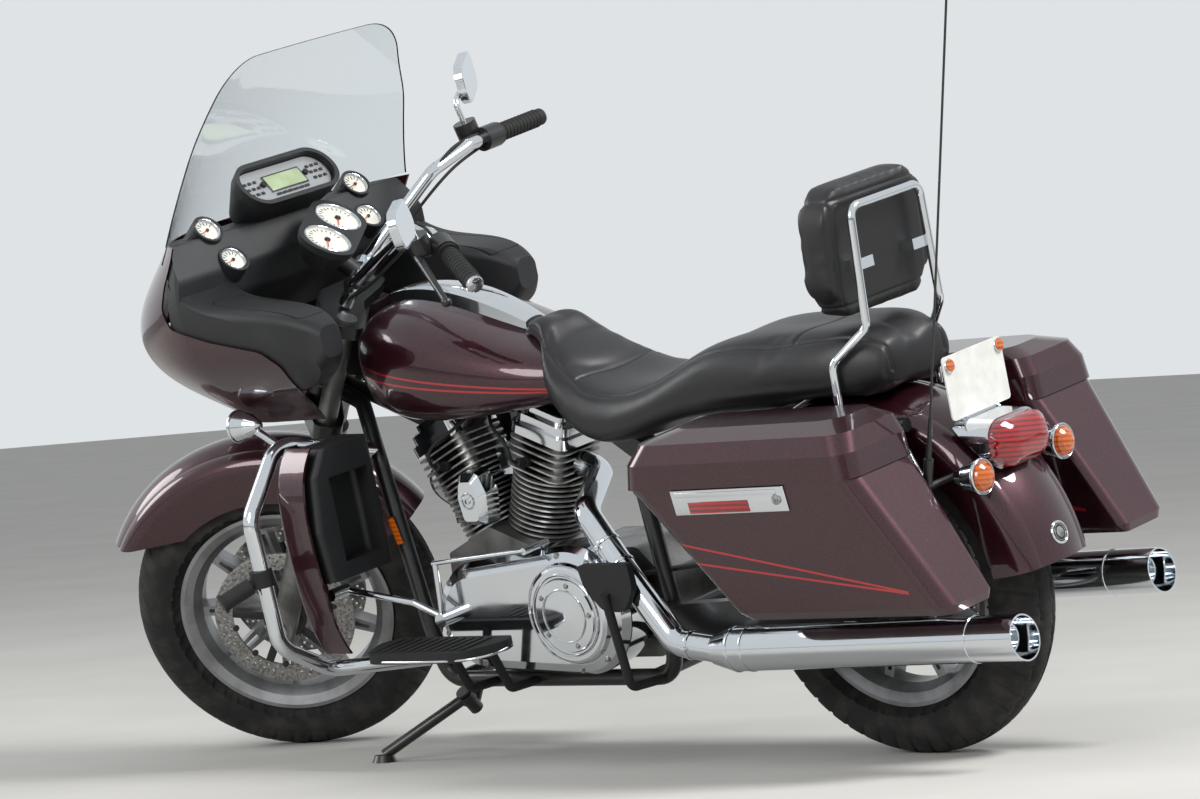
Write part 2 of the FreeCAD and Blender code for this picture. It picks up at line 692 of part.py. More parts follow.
def crankcase():
    x, z = CRANK
    half = math.radians(VEE_ANGLE / 2)

    def deck(across):
        """Height of the sloped faces that carry the barrels."""
        return z + (BARREL_START - SEAT_GAP - across * math.sin(half)) / math.cos(half)

    start = PRIMARY_INNER_Y + SEAT_GAP
    block = prism([(x - 128, z - 96), (x - 60, z - 128), (x + 150, z - 128), (x + 165, z + 20),
                   (x + 120, deck(120)),
                   (x, deck(0)), (x - 120, deck(120)), (x - 132, z + 10)],
                  [40, 40, 20, 20, 8, 0, 8, 40], on_xz(start), vec(0, CASE_RIGHT_Y - start, 0))
    oil_filter = rod(vec(x - 118, 0, z - 38), vec(x - 190, 0, z - 58), 38)
    return fuse([block, oil_filter])


def gearbox():
    x, z = CLUTCH
    block = prism([(CRANK[0] + 165 + SEAT_GAP, z - 122), (x + 112, z - 122), (x + 140, z - 60),
                   (x + 140, z + 40),
                   (x + 90, z + 96), (CRANK[0] + 165 + SEAT_GAP, z + 96)],
                  [0, 24, 20, 20, 24, 0], on_xz(BELT_Y + BELT_WIDTH / 2 + 8), vec(0, 166, 0))
    end_cover = Part.makeCylinder(74, 26, vec(x - 6, 92, z - 12), vec(0, 1, 0))
    sprocket = Part.makeCylinder(SPROCKET_RADIUS, BELT_WIDTH + 10, vec(1000, BELT_Y - BELT_WIDTH / 2, 318),
                                 vec(0, 1, 0))
    return fuse([block, end_cover, sprocket])


def cylinders():
    """Two finned barrels with finned heads, on the crankcase's two faces."""
    pieces = []
    for run in cylinder_axes():
        origin = vec(CRANK[0], 0, CRANK[1])
        top = BARREL_START + BARREL_FINS * FIN_PITCH
        profile = [(BARREL_START, 0), (BARREL_START, BARREL_RADIUS)]
        for i in range(BARREL_FINS):
            low = BARREL_START + i * FIN_PITCH + (FIN_PITCH - FIN_THICKNESS) / 2
            profile += [(low, BARREL_RADIUS), (low, FIN_RADIUS), (low + FIN_THICKNESS, FIN_RADIUS),
                        (low + FIN_THICKNESS, BARREL_RADIUS)]
        profile += [(top, BARREL_RADIUS), (top, 0)]
        across = run.cross(vec(0, 1, 0)).normalize()
        wire = Part.makePolygon([origin + run * a + across * b for a, b in profile + profile[:1]])
        barrel = Part.Face(wire).revolve(origin, run, 360)
        head_pieces = []
        half = FIN_RADIUS - 6
        core = prism([(-58, -54), (58, -54), (58, 54), (-58, 54)], 14,
                     lambda a, b: origin + run * (top - 1) + across * a + vec(0, b, 0),
                     run * (HEAD_FINS * FIN_PITCH * 1.35 + 1))
        for i in range(HEAD_FINS):
            at = top + 4 + i * FIN_PITCH * 1.35
            head_pieces.append(prism([(-half, -half), (half, -half), (half, half), (-half, half)], 26,
                                     lambda a, b: origin + run * at + across * a + vec(0, b, 0),
                                     run * FIN_THICKNESS))
        pieces.append(fuse([barrel, core] + head_pieces))
    return fuse(pieces)


def rocker_covers():
    """Two-part chrome covers, stepped like the real boxes."""
    base = BARREL_START + BARREL_FINS * FIN_PITCH + HEAD_FINS * FIN_PITCH * 1.35 + SEAT_GAP
    pieces = []
    for run in cylinder_axes():
        origin = vec(CRANK[0], 0, CRANK[1])
        across = run.cross(vec(0, 1, 0)).normalize()

        def plate(half_a, half_b, start, height, corner):
            return prism([(-half_a, -half_b), (half_a, -half_b), (half_a, half_b), (-half_a, half_b)], corner,
                         lambda a, b: origin + run * (base + start) + across * a + vec(0, b, 0), run * height)

        pieces.append(fuse([plate(70, 66, 0, 22, 20), plate(64, 60, 21.9, 20, 20),
                            plate(48, 50, 41.8, ROCKER_HEIGHT - 41.8, 16)]))
    return Part.makeCompound(pieces)


def timing_cover():
    """Right-hand cam cover with the four pushrod tubes."""
    x, z = CRANK
    face = CASE_RIGHT_Y + SEAT_GAP
    cover = prism([(x - 96, z - 60), (x - 20, z - 100), (x + 66, z - 60), (x + 92, z + 30), (x + 40, z + 92),
                   (x - 60, z + 92), (x - 104, z + 20)], 30, on_xz(face), vec(0, 34, 0))
    cap = Part.makeCylinder(46, 8, vec(x - 14, face + 34, z - 10), vec(0, 1, 0))
    pieces = [cover, cap]
    top = BARREL_START + BARREL_FINS * FIN_PITCH + HEAD_FINS * FIN_PITCH * 1.35 - 22
    for run, spread in zip(cylinder_axes(), (-1, 1)):
        for k in (10, 34):
            low = vec(x + spread * k, face + 16, z + 84)
            high = vec(CRANK[0], FIN_RADIUS + 9, CRANK[1]) + run * top + vec(-spread * (34 - k), 0, 0)
            pieces.append(rod(low, high, 8))
            pieces.append(rod(low, low + (high - low).normalize() * 26, 12))
    return fuse(pieces)


def air_cleaner():
    """Round cleaner between the cylinders on the right, with its carburettor behind."""
    x, z = CRANK[0], CRANK[1] + 255
    can = revolved([(104, 0), (104, 88), (128, 92), (150, 84), (158, 60), (160, 0)], (x, 0, z))
    carburettor = box(x - 17, x + 17, SEAT_GAP - 20, 104.5, z - 8, z + 46)
    posts = [rod(vec(x + s * 60, FIN_RADIUS - 6 + SEAT_GAP, z + 16), vec(x + s * 60, 106, z + 16),
                 8) for s in SIDES]
    return fuse([can, carburettor] + posts)


def horn():
    """Horn under its long bell-shaped cover on the left, between the cylinders."""
    x, z = CRANK[0] - 6, CRANK[1] + 215
    outline = [(x - 32, z - 46), (x + 32, z - 46), (x + 42, z + 20), (x + 26, z + 66), (x - 26, z + 66),
               (x - 42, z + 20)]
    cover = loft([rounded_wire(outline, 18, on_xz(-92)),
                  rounded_wire([(x + (a - x) * 0.92, z + (b - z) * 0.92) for a, b in outline], 16,
                               on_xz(-124)),
                  rounded_wire([(x + (a - x) * 0.6, z + (b - z) * 0.7) for a, b in outline], 10,
                               on_xz(-138))],
                 ruled=True)
    bracket = box(x - 10, x + 10, -93, -20, z + 20, z + 44)
    return fuse([cover, bracket])


def primary_outline(grow):
    """The cover's outline round the crank and the clutch, as a closed wire builder."""
    (x1, z1), (x2, z2) = CRANK, CLUTCH
    r1, r2 = PRIMARY_FRONT_RADIUS + grow, PRIMARY_REAR_RADIUS + grow
    distance = math.hypot(x2 - x1, z2 - z1)
    spread = math.asin((r2 - r1) / distance)
    lift = math.atan2(z2 - z1, x2 - x1)

    def wire(y):
        def point(cx, cz, r, around):
            return vec(cx + r * math.cos(around), y, cz + r * math.sin(around))

        up, down = lift + math.pi / 2 + spread, lift - math.pi / 2 - spread
        a, b = point(x1, z1, r1, up), point(x2, z2, r2, up)
        c, d = point(x2, z2, r2, down), point(x1, z1, r1, down)
        return Part.Wire([
            Part.LineSegment(a, b).toShape(),
            Part.Arc(b, point(x2, z2, r2, lift), c).toShape(),
            Part.LineSegment(c, d).toShape(),
            Part.Arc(d, point(x1, z1, r1, lift + math.pi), a).toShape()])

    return wire


def primary_cover():
    """The long oval cover with its raised clutch ring and derby cover."""
    y0, y1 = PRIMARY_INNER_Y, PRIMARY_OUTER_Y
    body = loft([primary_outline(0)(y0), primary_outline(0)(y1 + 26)], ruled=True)
    dome = loft([primary_outline(0)(y1 + 26), primary_outline(-9)(y1 + 8), primary_outline(-26)(y1)],
                ruled=True)
    x, z = CLUTCH
    ring = revolved([(y1 + 2, 0), (y1 + 2, 102), (y1 - 10, 98), (y1 - 14, 90), (y1 - 14, 0)], (x, 0, z))
    derby = revolved([(y1 - 13.9, 0), (y1 - 13.9, DERBY_RADIUS), (y1 - 19, DERBY_RADIUS - 3), (y1 - 22, 0)],
                     (x, 0, z))
    return fuse([body, dome, ring, derby])


def exhaust_port(side, out=0.0):
    """Where a header pipe leaves its head: the front face of the front one or the rear of the rear one."""
    half = math.radians(VEE_ANGLE / 2)
    height = BARREL_START + BARREL_FINS * FIN_PITCH + 37.0
    across = FIN_RADIUS - 6 + SEAT_GAP + out
    return (CRANK[0] + side * (height * math.sin(half) + across * math.cos(half)), 0.0,
            CRANK[1] + height * math.cos(half) - across * math.sin(half))


def exhaust():
    """Both header runs and mufflers. The rear cylinder's pipe crosses over to the left."""
    mx, mz = MUFFLER_START
    ex, ez = MUFFLER_END
    pieces = []
    joins = {
        1.0: bent_tube([exhaust_port(-1.0), exhaust_port(-1.0, 46.0), (506, 60, 496), (572, 160, 300),
                        (700, 176, 262), (1180, 186, 250), (mx - 60, MUFFLER_Y, mz),
                        (mx + 30, MUFFLER_Y, mz)],
                       PIPE_RADIUS - 2, 46.0),
        -1.0: bent_tube([exhaust_port(1.0), exhaust_port(1.0, 50.0), (1014, -160, 520), (1130, -196, 390),
                         (1230, -MUFFLER_Y, mz + 14), (mx - 40, -MUFFLER_Y, mz), (mx + 30, -MUFFLER_Y, mz)],
                        PIPE_RADIUS, 50.0),
    }
    for side in SIDES:
        y = side * MUFFLER_Y
        start, end = vec(mx, y, mz), vec(ex + 30, y, ez)
        run = (end - start).normalize()
        cone = rod(start - run * 46, start, PIPE_RADIUS + 3, MUFFLER_RADIUS - 1)
        can = rod(start, end, MUFFLER_RADIUS - 1)
        slash = prism([(ex - 12, ez + 120), (ex + 90, ez + 120), (ex + 90, ez - 100), (ex + 18, ez - 100)], 0,
                      on_xz(y - 80), vec(0, 160, 0))
        hollow = rod(end - run * 92, end + run * 20, MUFFLER_RADIUS - 4)
        inner = rod(end - run * 96, end - run * 58, 26).cut(rod(end - run * 90, end - run * 40, 22))
        pieces.append(fuse([fuse([joins[side], cone, can]).cut(slash).cut(hollow), inner]))
    return Part.makeCompound(pieces)


# Bodywork

TANK = [  # x, half width, bottom, top
    (428, 60, 800, 876), (470, 126, 745, 922), (560, 172, 712, 940), (700, 181, 704, 912),
    (850, 150, 712, 854),
    (975, 92, 730, 806)]


def tank_form(grow=0.0):
    """A broad teardrop, before its tunnel is cut."""
    wires = []
    for x, w, low, high in TANK:
        w, low, high = w + grow, low - grow, high + grow
        middle = low + (high - low) * 0.44
        half = [(w * 0.55, low), (w * 0.88, low + (middle - low) * 0.3), (w, middle),
                (w * 0.9, middle + (high - middle) * 0.58), (w * 0.55, high - (high - middle) * 0.1)]
        ring = [(0, low)] + half + [(0, high)] + [(-y, z) for y, z in reversed(half)]
        wires.append(smooth_ring(ring, on_yz(x - grow if x == TANK[0][0] else x + grow)))
    return loft(wires)


def fuel_tank():
    """The tank with the tunnel that the backbone runs through."""
    half = BACKBONE_WIDTH / 2 + TUNNEL_CLEARANCE
    tunnel = prism([(380, 640), (380, 900), (520, 860), (860, 768), (1010, 700), (1010, 640)],
                   0, on_xz(-half), vec(0, 2 * half, 0))
    return tank_form().cut(tunnel).cut(box(470, 930, -76, 76, 600, 722))


CONSOLE = [  # x, half width, top height
    (505, 40, 958), (600, 46, 962), (720, 44, 934), (840, 32, 878)]
FUEL_DOOR_X = (628.0, 742.0)
FUEL_DOOR_HALF = 33.0
FUEL_DOOR_THICKNESS = 6.0


def console_form():
    """The long bright dash that covers the tank's ridge."""
    wires = []
    for x, w, z in CONSOLE:
        a, b, c, d = vec(x, -w, z - 34), vec(x, w, z - 34), vec(x, w - 3, z - 6), vec(x, 3 - w, z - 6)
        wires.append(Part.Wire([Part.LineSegment(a, b).toShape(), Part.LineSegment(b, c).toShape(),
                                Part.Arc(c, vec(x, 0, z), d).toShape(), Part.LineSegment(d, a).toShape()]))
    return loft(wires)


def fuel_door_plan(grow):
    """The filler door's outline in plan."""
    x0, x1 = FUEL_DOOR_X
    half = FUEL_DOOR_HALF + grow
    return prism([(x0 - grow, -half), (x1 + grow, -half), (x1 + grow, half), (x0 - grow, half)], 22 + grow,
                 on_xy(800), vec(0, 0, 300))


def lowered(form, depth):
    """The same form moved down, which leaves a skin of even height."""
    return form.translated(vec(0, 0, -depth))


def fuel_door():
    form = console_form()
    return form.common(fuel_door_plan(0.0)).cut(lowered(form, FUEL_DOOR_THICKNESS))


def tank_console():
    """The console with the shallow well under its filler door."""
    form = console_form()
    body = form.cut(fuel_door_plan(SEAT_GAP).cut(lowered(form, FUEL_DOOR_THICKNESS + SEAT_GAP)))
    x0, x1 = FUEL_DOOR_X
    well = Part.makeCylinder(27, 60, vec((x0 + x1) / 2, 0, 930), vec(0, 0, 1))
    return body.cut(well).cut(tank_form(2 * SEAT_GAP))


def fairing_sections(inset):
    """Plan sections of the outer fairing: height, nose x, half width, x where the sides start."""
    rows = [(742, 84, 196, 290), (830, -28, 292, 272), (945, -96, 362, 250), (1045, -38, 364, 245),
            (1132, 52, 348, 252)]
    return [(z, nose + inset, half - inset, sides) for z, nose, half, sides in rows]


FAIRING_REAR = 480.0


def fairing_form(inset, rear):
    """The fairing's whole form, closed at the back."""
    wires = []
    for z, nose, half, sides in fairing_sections(inset):
        a, b, c = vec(sides, -half, z), vec(nose, 0, z), vec(sides, half, z)
        d, e = vec(rear, half, z), vec(rear, -half, z)
        wires.append(Part.Wire([Part.Arc(a, b, c).toShape(), Part.LineSegment(c, d).toShape(),
                                Part.LineSegment(d, e).toShape(), Part.LineSegment(e, a).toShape()]))
    return loft(wires)


LAMP_OUTLINE = [(-150, 862), (150, 862), (172, 905), (150, 942), (-150, 942), (-172, 905)]


def lamp_prism(grow):
    middle = LAMP_OUTLINE[2][1]
    points = [(a + math.copysign(1, a) * grow, b if b == middle else b + math.copysign(1, b - middle) * grow)
              for a, b in LAMP_OUTLINE]
    return prism(points, [20 + grow, 20 + grow, 16 + grow] * 2, on_yz(-300), vec(420, 0, 0))


def fairing_trim(low_edge):
    """The side profile that the shell keeps; behind it the inner fairing shows."""
    return prism([(-300, 700), (392, 700), (414, 742), (450, 821), (463, 877), (435, 912), (311, 942),
                  (212, 975), (190, 1015), (205, 1060), (256, low_edge), (-300, low_edge)],
                 [0, 0, 0, 40, 24, 40, 60, 30, 20, 40, 0, 0], on_xz(-500), vec(0, 1000, 0))


def fairing_shell():
    """The painted outer fairing: an open shell with the lamp's opening in its nose."""
    outer = fairing_form(0.0, FAIRING_REAR)
    inner = fairing_form(FAIRING_WALL, FAIRING_REAR + 40)
    shell = outer.cut(inner).common(fairing_trim(1140))
    return shell.cut(lamp_prism(0.0)).cut(screen_slab(SEAT_GAP, SEAT_GAP))


def headlamp():
    """The wide twin-lamp lens, flush in the nose, with its housing behind."""
    lens = fairing_form(0.0, FAIRING_REAR).cut(fairing_form(7.0,
                                                            FAIRING_REAR + 40)).common(lamp_prism(-2 * SEAT_GAP))
    lens = lens.common(box(-300, 120, -200, 200, 800, 1000))
    return lens


SCREEN = [  # height, x at the middle, x at the edges, half width
    (1096, 52, 238, 372), (1215, 158, 296, 362), (1340, 270, 352, 330), (1470, 392, 436, 290)]


def screen_slab(ahead, behind):
    """The screen's curved sheet, thickened forwards and rearwards."""
    wires = []
    for z, mid, edge, half in SCREEN:
        front, rear = -ahead, SCREEN_THICKNESS + behind
        a, b, c = vec(edge + front, -half, z), vec(mid + front, 0, z), vec(edge + front, half, z)
        d, e, f = vec(edge + rear, half, z), vec(mid + rear, 0, z), vec(edge + rear, -half, z)
        wires.append(Part.Wire([Part.Arc(a, b, c).toShape(), Part.LineSegment(c, d).toShape(),
                                Part.Arc(d, e, f).toShape(), Part.LineSegment(f, a).toShape()]))
    return loft(wires)


def windshield():
    """A raked, curved clear screen with a rounded top."""
    outline = prism([(-350, 1136), (0, 1098), (350, 1136), (308, 1310), (232, 1466), (-232, 1466),
                     (-308, 1310)],
                    [0, 300, 0, 260, 120, 120, 260], on_yz(-200), vec(900, 0, 0))
    return screen_slab(0.0, 0.0).common(outline)


def wing_form(side):
    """One arm of the inner fairing, which holds a glove box."""
    rows = [  # x, inner y, outer y, low z, high z
        (212, 196, 366, 915, 1062), (300, 212, 366, 880, 1014), (430, 226, 358, 822, 992),
        (520, 240, 340, 838, 974),
        (574, 262, 318, 884, 946)]
    wires = []
    for x, inner, outer, low, high in rows:
        wires.append(rounded_wire([(side * inner, low), (side * outer, low), (side * outer, high),
                                   (side * inner, high)], 20, on_yz(x)))
    return loft(wires)


GLOVE_X = (302.0, 536.0)
GLOVE_Y = (246.0, 326.0)
GLOVE_FLOOR_Z = 905.0
GLOVE_DOOR = 9.0
GLOVE_GAP = 2.5  # round the door, so that its square ends swing free


def glove_plan(side, grow):
    """The glove box's opening in plan."""
    (x0, x1), (y0, y1) = GLOVE_X, GLOVE_Y
    low, high = sorted((side * (y0 - grow), side * (y1 + grow)))
    return prism([(x0 - grow, low), (x1 + grow, low), (x1 + grow, high), (x0 - grow, high)], 16 + grow,
                 on_xy(GLOVE_FLOOR_Z), vec(0, 0, 200))


def glove_door(side):
    form = wing_form(side)
    return form.common(glove_plan(side, 0.0)).cut(lowered(form, GLOVE_DOOR))


def glove_door_left():
    return glove_door(-1.0)


def glove_door_right():
    return glove_door(1.0)


SMALL_DIALS = [  # x, y, z of the four small dials' faces
    (214, 216, 1136), (250, 198, 1070)]
DIAL_TILT = 40.0
RADIO_FACE = (238.0, 0.0, 1190.0)


def dial_facing():
    return vec(math.cos(math.radians(DIAL_TILT)), 0, math.sin(math.radians(DIAL_TILT)))


def fairing_dash():
    """The black inner fairing: the wall with its small dials, the radio's hood and two arms."""
    inside = fairing_form(FAIRING_WALL + 2 * SEAT_GAP, 700.0)
    wall = prism([(150, 1138), (226, 1138), (258, 1064), (250, 1010), (214, 940), (190, 940), (224, 1016),
                  (230, 1050), (178, 1110)],
                 [0, 20, 30, 40, 0, 0, 40, 20, 30], on_xz(-500), vec(0, 1000, 0))
    pieces, wells = [wall.common(inside)], []
    facing = dial_facing()
    for x, y, z in SMALL_DIALS:
        for side in SIDES:
            face = vec(x, side * y, z)
            pieces.append(rod(face - facing * 34, face + facing * 14, 33))
            wells.append(rod(face, face + facing * 60, 28))
    centre = vec(*RADIO_FACE)
    lift = vec(-facing.z, 0, facing.x)

    def place(depth):
        return lambda a, b: centre + facing * depth + vec(0, a, 0) + lift * b

    hood = loft([rounded_wire([(-96, -36), (96, -36), (96, 36), (-96, 36)], 35, place(-86)),
                 rounded_wire([(-132, -52), (132, -52), (132, 52), (-132, 52)], 51, place(-4)),
                 rounded_wire([(-134, -54), (134, -54), (134, 54), (-134, 54)], 53, place(22))], ruled=True)
    pieces.append(hood)
    wells.append(prism([(-124, -44), (124, -44), (124, 44), (-124, 44)], 43, place(0), facing * 60))
    for side in SIDES:
        form = wing_form(side)
        well = glove_plan(side, GLOVE_GAP).cut(lowered(form, GLOVE_DOOR + 2 * SEAT_GAP))
        arm = form.common(inside).cut(well)
        (x0, x1), (y0, y1) = GLOVE_X, GLOVE_Y
        low, high = sorted((side * (y0 + 6), side * (y1 - 6)))
        arm = arm.cut(prism([(x0 + 8, low), (x1 - 8, low), (x1 - 8, high), (x0 + 8, high)], 10,
                            on_xy(GLOVE_FLOOR_Z), vec(0, 0, 140)))
        pieces.append(arm)
    whole = fuse(pieces)
    for well in wells:
        whole = whole.cut(well)
    return whole.cut(screen_slab(300.0, SEAT_GAP))


def radio():
    """The radio's face plate and the dial faces, seated in their wells."""
    facing = dial_facing()
    centre = vec(*RADIO_FACE)
    lift = vec(-facing.z, 0, facing.x)
    plate = prism([(-122, -42), (122, -42), (122, 42), (-122, 42)], 41,
                  lambda a, b: centre + facing * 0.3 + vec(0, a, 0) + lift * b, facing * 7)
    screen = prism([(-54, -20), (54, -20), (54, 22), (-54, 22)], 4,
                   lambda a, b: centre + facing * 7 + vec(0, a, 0) + lift * b, facing * 2)
    pieces = [plate.fuse(screen)]
    for x, y, z in SMALL_DIALS:
        for side in SIDES:
            face = vec(x, side * y, z)
            pieces.append(rod(face + facing * 0.3, face + facing * 6, 27.5))
    return Part.makeCompound(pieces)


SEAT = [  # x, half width, low z, high z
    (846, 50, 842, 868), (930, 110, 752, 848), (1040, 166, 655, 764), (1150, 177, 652, 744),
    (1250, 176, 678, 768),
    (1340, 170, 686, 806), (1520, 162, 690, 822), (1640, 146, 690, 822), (1700, 126, 694, 814),
    (1748, 100, 716, 790)]


def seat():
    """Stepped two-up seat as one plain cushion."""
    wires = []
    for x, w, low, high in SEAT:
        rise = high - low
        half = [(w * 0.7, low), (w * 0.97, low + rise * 0.2), (w, low + rise * 0.55),
                (w * 0.84, low + rise * 0.88),
                (w * 0.45, high)]
        ring = [(0, low)] + half + [(0, high - 2)] + [(-y, z) for y, z in reversed(half)]
        wires.append(smooth_ring(ring, on_yz(x)))
    cushion = loft(wires)
    return cushion.cut(tank_form(2 * SEAT_GAP)).cut(fender_crown())


BACKREST_TILT = 5.0


def backrest_pad(grow=0.0):
    pad = prism([(-112, 842), (112, 842), (158, 905), (158, 1040), (112, 1088), (-112, 1088), (-158, 1040),
                 (-158, 905)], [30, 30, 50, 50, 40, 40, 50, 50], on_yz(1634), vec(66 + grow, 0, 0))
    pad.rotate(vec(1700, 0, 850), vec(0, 1, 0), BACKREST_TILT)
    return pad


def backrest_frame():
    """The bent upright loop, its side plates and the docking pins on the rear rails."""
    loop = bent_tube([(1668, -152, 664), (1672, -152, 770), (1734, -112, 826), (1742, -104, 1046),
                      (1742, 104, 1046), (1734, 112, 826), (1672, 152, 770), (1668, 152, 664)], 8.0, 24.0)
    pieces = [loop]
    for side in SIDES:
        low, high = sorted((side * 149, side * 155))
        pieces.append(prism([(1500, 652), (1520, 640), (1700, 640), (1722, 662), (1700, 684), (1516, 680)],
                            10,
                            on_xz(low), vec(0, high - low, 0)))
        for x in (1524, 1690):
            pieces.append(rod(vec(x, side * (REAR_RAIL_Y + 13.3), 650), vec(x, side * 150, 650), 9))
        low, high = sorted((side * 60, side * 106))
        pieces.append(box(1700, 1738, low, high, 930, 950))
    return fuse(pieces).cut(backrest_pad(SEAT_GAP))


def rear_fender():
    radius = REAR_TYRE_RADIUS + FENDER_GAP
    return wheel_cover(REAR_CENTRE, radius, REAR_FENDER_HALF, 12.0, 40.0, 290.0, -72.0, 156.0)


def fender_crown():
    """The round form under everything that is fixed to the rear fender."""
    radius = REAR_TYRE_RADIUS + FENDER_GAP
    return Part.makeCylinder(radius + SEAT_GAP, 500, vec(WHEELBASE, -250, REAR_TYRE_RADIUS), vec(0, 1, 0))


TAIL_LAMP_Z = 584.0
SIGNAL_SPAN = 125.0
SIGNAL_RADIUS = 30.0
REAR_SIGNAL = (1912.0, 546.0)
FRONT_SIGNAL = (262.0, 264.0, 752.0)
PLATE_SIZE = (178.0, 116.0)


def tail_lamp():
    """Bright base on the fender with the plate's bracket."""
    z = TAIL_LAMP_Z
    base = loft([rounded_wire([(-84, z - 48), (84, z - 48), (84, z + 54), (-84, z + 54)], 44, on_yz(1850)),
                 rounded_wire([(-80, z - 46), (80, z - 46), (80, z + 48), (-80, z + 48)], 42, on_yz(1928))],
                 ruled=True)
    bracket = prism([(1853, 560), (1866, 560), (1866, 740), (1858, 740)], 0, on_xz(-46), vec(0, 92, 0))
    return fuse([base, bracket]).cut(fender_crown())


def tail_lens():
    z = TAIL_LAMP_Z
    return loft([rounded_wire([(-76, z - 43), (76, z - 43), (76, z + 45), (-76, z + 45)], 40,
                              on_yz(1928 + SEAT_GAP)),
                 rounded_wire([(-72, z - 40), (72, z - 40), (72, z + 42), (-72, z + 42)], 38, on_yz(1950)),
                 rounded_wire([(-50, z - 24), (50, z - 24), (50, z + 26), (-50, z + 26)], 22, on_yz(1964))],
                ruled=True).cut(fender_crown())


def licence_plate():
    width, height = PLATE_SIZE
    return prism([(-width / 2, 640), (width / 2, 640), (width / 2, 640 + height),
                  (-width / 2, 640 + height)], 8,
                 on_yz(1866 + SEAT_GAP), vec(3, 0, 0))


def signal(tip, side_y, z, rearwards):
    """One bullet housing, open towards its lens."""
    s = 1.0 if rearwards else -1.0
    c = vec(tip, side_y, z)
    profile = [(0, 0), (0, SIGNAL_RADIUS), (-6, SIGNAL_RADIUS + 1), (-34, SIGNAL_RADIUS - 6),
               (-56, SIGNAL_RADIUS - 18),
               (-62, 0)]
    wire = Part.makePolygon([c + vec(s * a, 0, r) for a, r in profile + profile[:1]])
    return Part.Face(wire).revolve(c, vec(1, 0, 0), 360)


def lens(tip, side_y, z, rearwards):
    s = 1.0 if rearwards else -1.0
    c = vec(tip + s * SEAT_GAP, side_y, z)
    r = SIGNAL_RADIUS - 3
    profile = [(0, 0), (0, r), (7, r * 0.92), (13, r * 0.66), (17, r * 0.3), (18, 0)]
    wire = Part.makePolygon([c + vec(s * a, 0, b) for a, b in profile + profile[:1]])
    return Part.Face(wire).revolve(c, vec(1, 0, 0), 360)


def signal_housings():
    pieces = []
    for side in SIDES:
        rear = signal(1938, side * SIGNAL_SPAN, REAR_SIGNAL[1], True)
        stub = rod(vec(REAR_SIGNAL[0] - 18, side * (REAR_FENDER_HALF - 1), REAR_SIGNAL[1]),
                   vec(REAR_SIGNAL[0] - 18, side * SIGNAL_SPAN, REAR_SIGNAL[1]), 9)
        pieces.append(fuse([rear, stub]))
        x, y, z = FRONT_SIGNAL
        front = signal(x - 22, side * y, z, False)
        stalk = bent_tube([(x + 16, side * y, z - 6), (x + 50, side * (y + 2), z - 24),
                           (340, side * 268, 712)], 8, 14)
        pieces.append(fuse([front, stalk]).cut(guard_tube(side)))
    return Part.makeCompound(pieces)


def signal_lenses():
    x, y, z = FRONT_SIGNAL
    pieces = []
    for side in SIDES:
        pieces.append(lens(1938, side * SIGNAL_SPAN, REAR_SIGNAL[1], True))
        pieces.append(lens(x - 22, side * y, z, False))
    return Part.makeCompound(pieces)


# Saddlebags

def bag_wire(z, inset):
    """The bag's outline in plan at a height; the left bag, with y as its distance from the middle."""
    share = (BAG_SEAM_Z - z) / (BAG_SEAM_Z - BAG_BOTTOM_Z)
    front = 1322 + 178 * share + inset
    rear = 1846 + 142 * share - inset
    inner = BAG_INNER_Y + 16 * share + inset
    outer = BAG_OUTER_Y - 8 - 34 * share - inset
    return rounded_wire([(front, -outer), (rear, -outer), (rear, -inner), (front, -inner)],
                        [34 - inset, 34 - inset, 22 - inset, 22 - inset], on_xy(z))


def saddlebag(side):
    """A hard shell, open at the top under its lid."""
    top, low = BAG_SEAM_Z - SEAT_GAP, BAG_BOTTOM_Z
    outer = loft([bag_wire(top, 0), bag_wire(low + 16, 0), bag_wire(low, 12)], ruled=True)
    inner = loft([bag_wire(top + 30, BAG_WALL), bag_wire(low + 20, BAG_WALL), bag_wire(low + BAG_WALL, 16)],
                 ruled=True)
    shell = outer.cut(inner)
    shell = fuse([shell] + bag_fixings())
    return mirrored(shell) if side > 0 else shell


def bag_fixings():
    """Two straps down from the rear rail with a boss each to the bag's inner wall."""
    outer = -REAR_RAIL_Y - (TUBE_RADIUS - 3) - SEAT_GAP
    pieces = []
    for x in (1416, 1730):
        pieces.append(box(x - 14, x + 14, outer - 5, outer, 576, 656))
        pieces.append(rod(vec(x, outer - 2, 590), vec(x, -BAG_INNER_Y - 5, 590), 9))
    return pieces


def saddlebag_left():
    return saddlebag(-1.0)


def saddlebag_right():
    return saddlebag(1.0)


def lid_wire(z, inset_side, inset_end, corner):
    front, rear = 1316 + inset_end, 1850 - inset_end * 0.6
    return rounded_wire([(front, -BAG_OUTER_Y + inset_side), (rear, -BAG_OUTER_Y + inset_side),
                         (rear, -BAG_INNER_Y + 2 - inset_side * 0.3),
                         (front, -BAG_INNER_Y + 2 - inset_side * 0.3)],
                        [corner, corner, corner * 0.7, corner * 0.7], on_xy(z))


def bag_lid(side):
    """A domed lid with a deep skirt, hollow over the bag."""
    z = BAG_SEAM_Z
    outer = loft([lid_wire(z, 0, 0, 40), lid_wire(z + 44, 4, 6, 40), lid_wire(z + 78, 20, 26, 44),
                  lid_wire(z + LID_HEIGHT, 62, 90, 50)], ruled=True)
    inner = loft([lid_wire(z - 10, 4, 4, 36), lid_wire(z + 42, 8, 10, 36), lid_wire(z + 73, 25, 31, 40),
                  lid_wire(z + LID_HEIGHT - 5, 66, 94, 46)], ruled=True)
    lid = outer.cut(inner)
    return mirrored(lid) if side > 0 else lid


def bag_lid_left():
    return bag_lid(-1.0)


def bag_lid_right():
    return bag_lid(1.0)


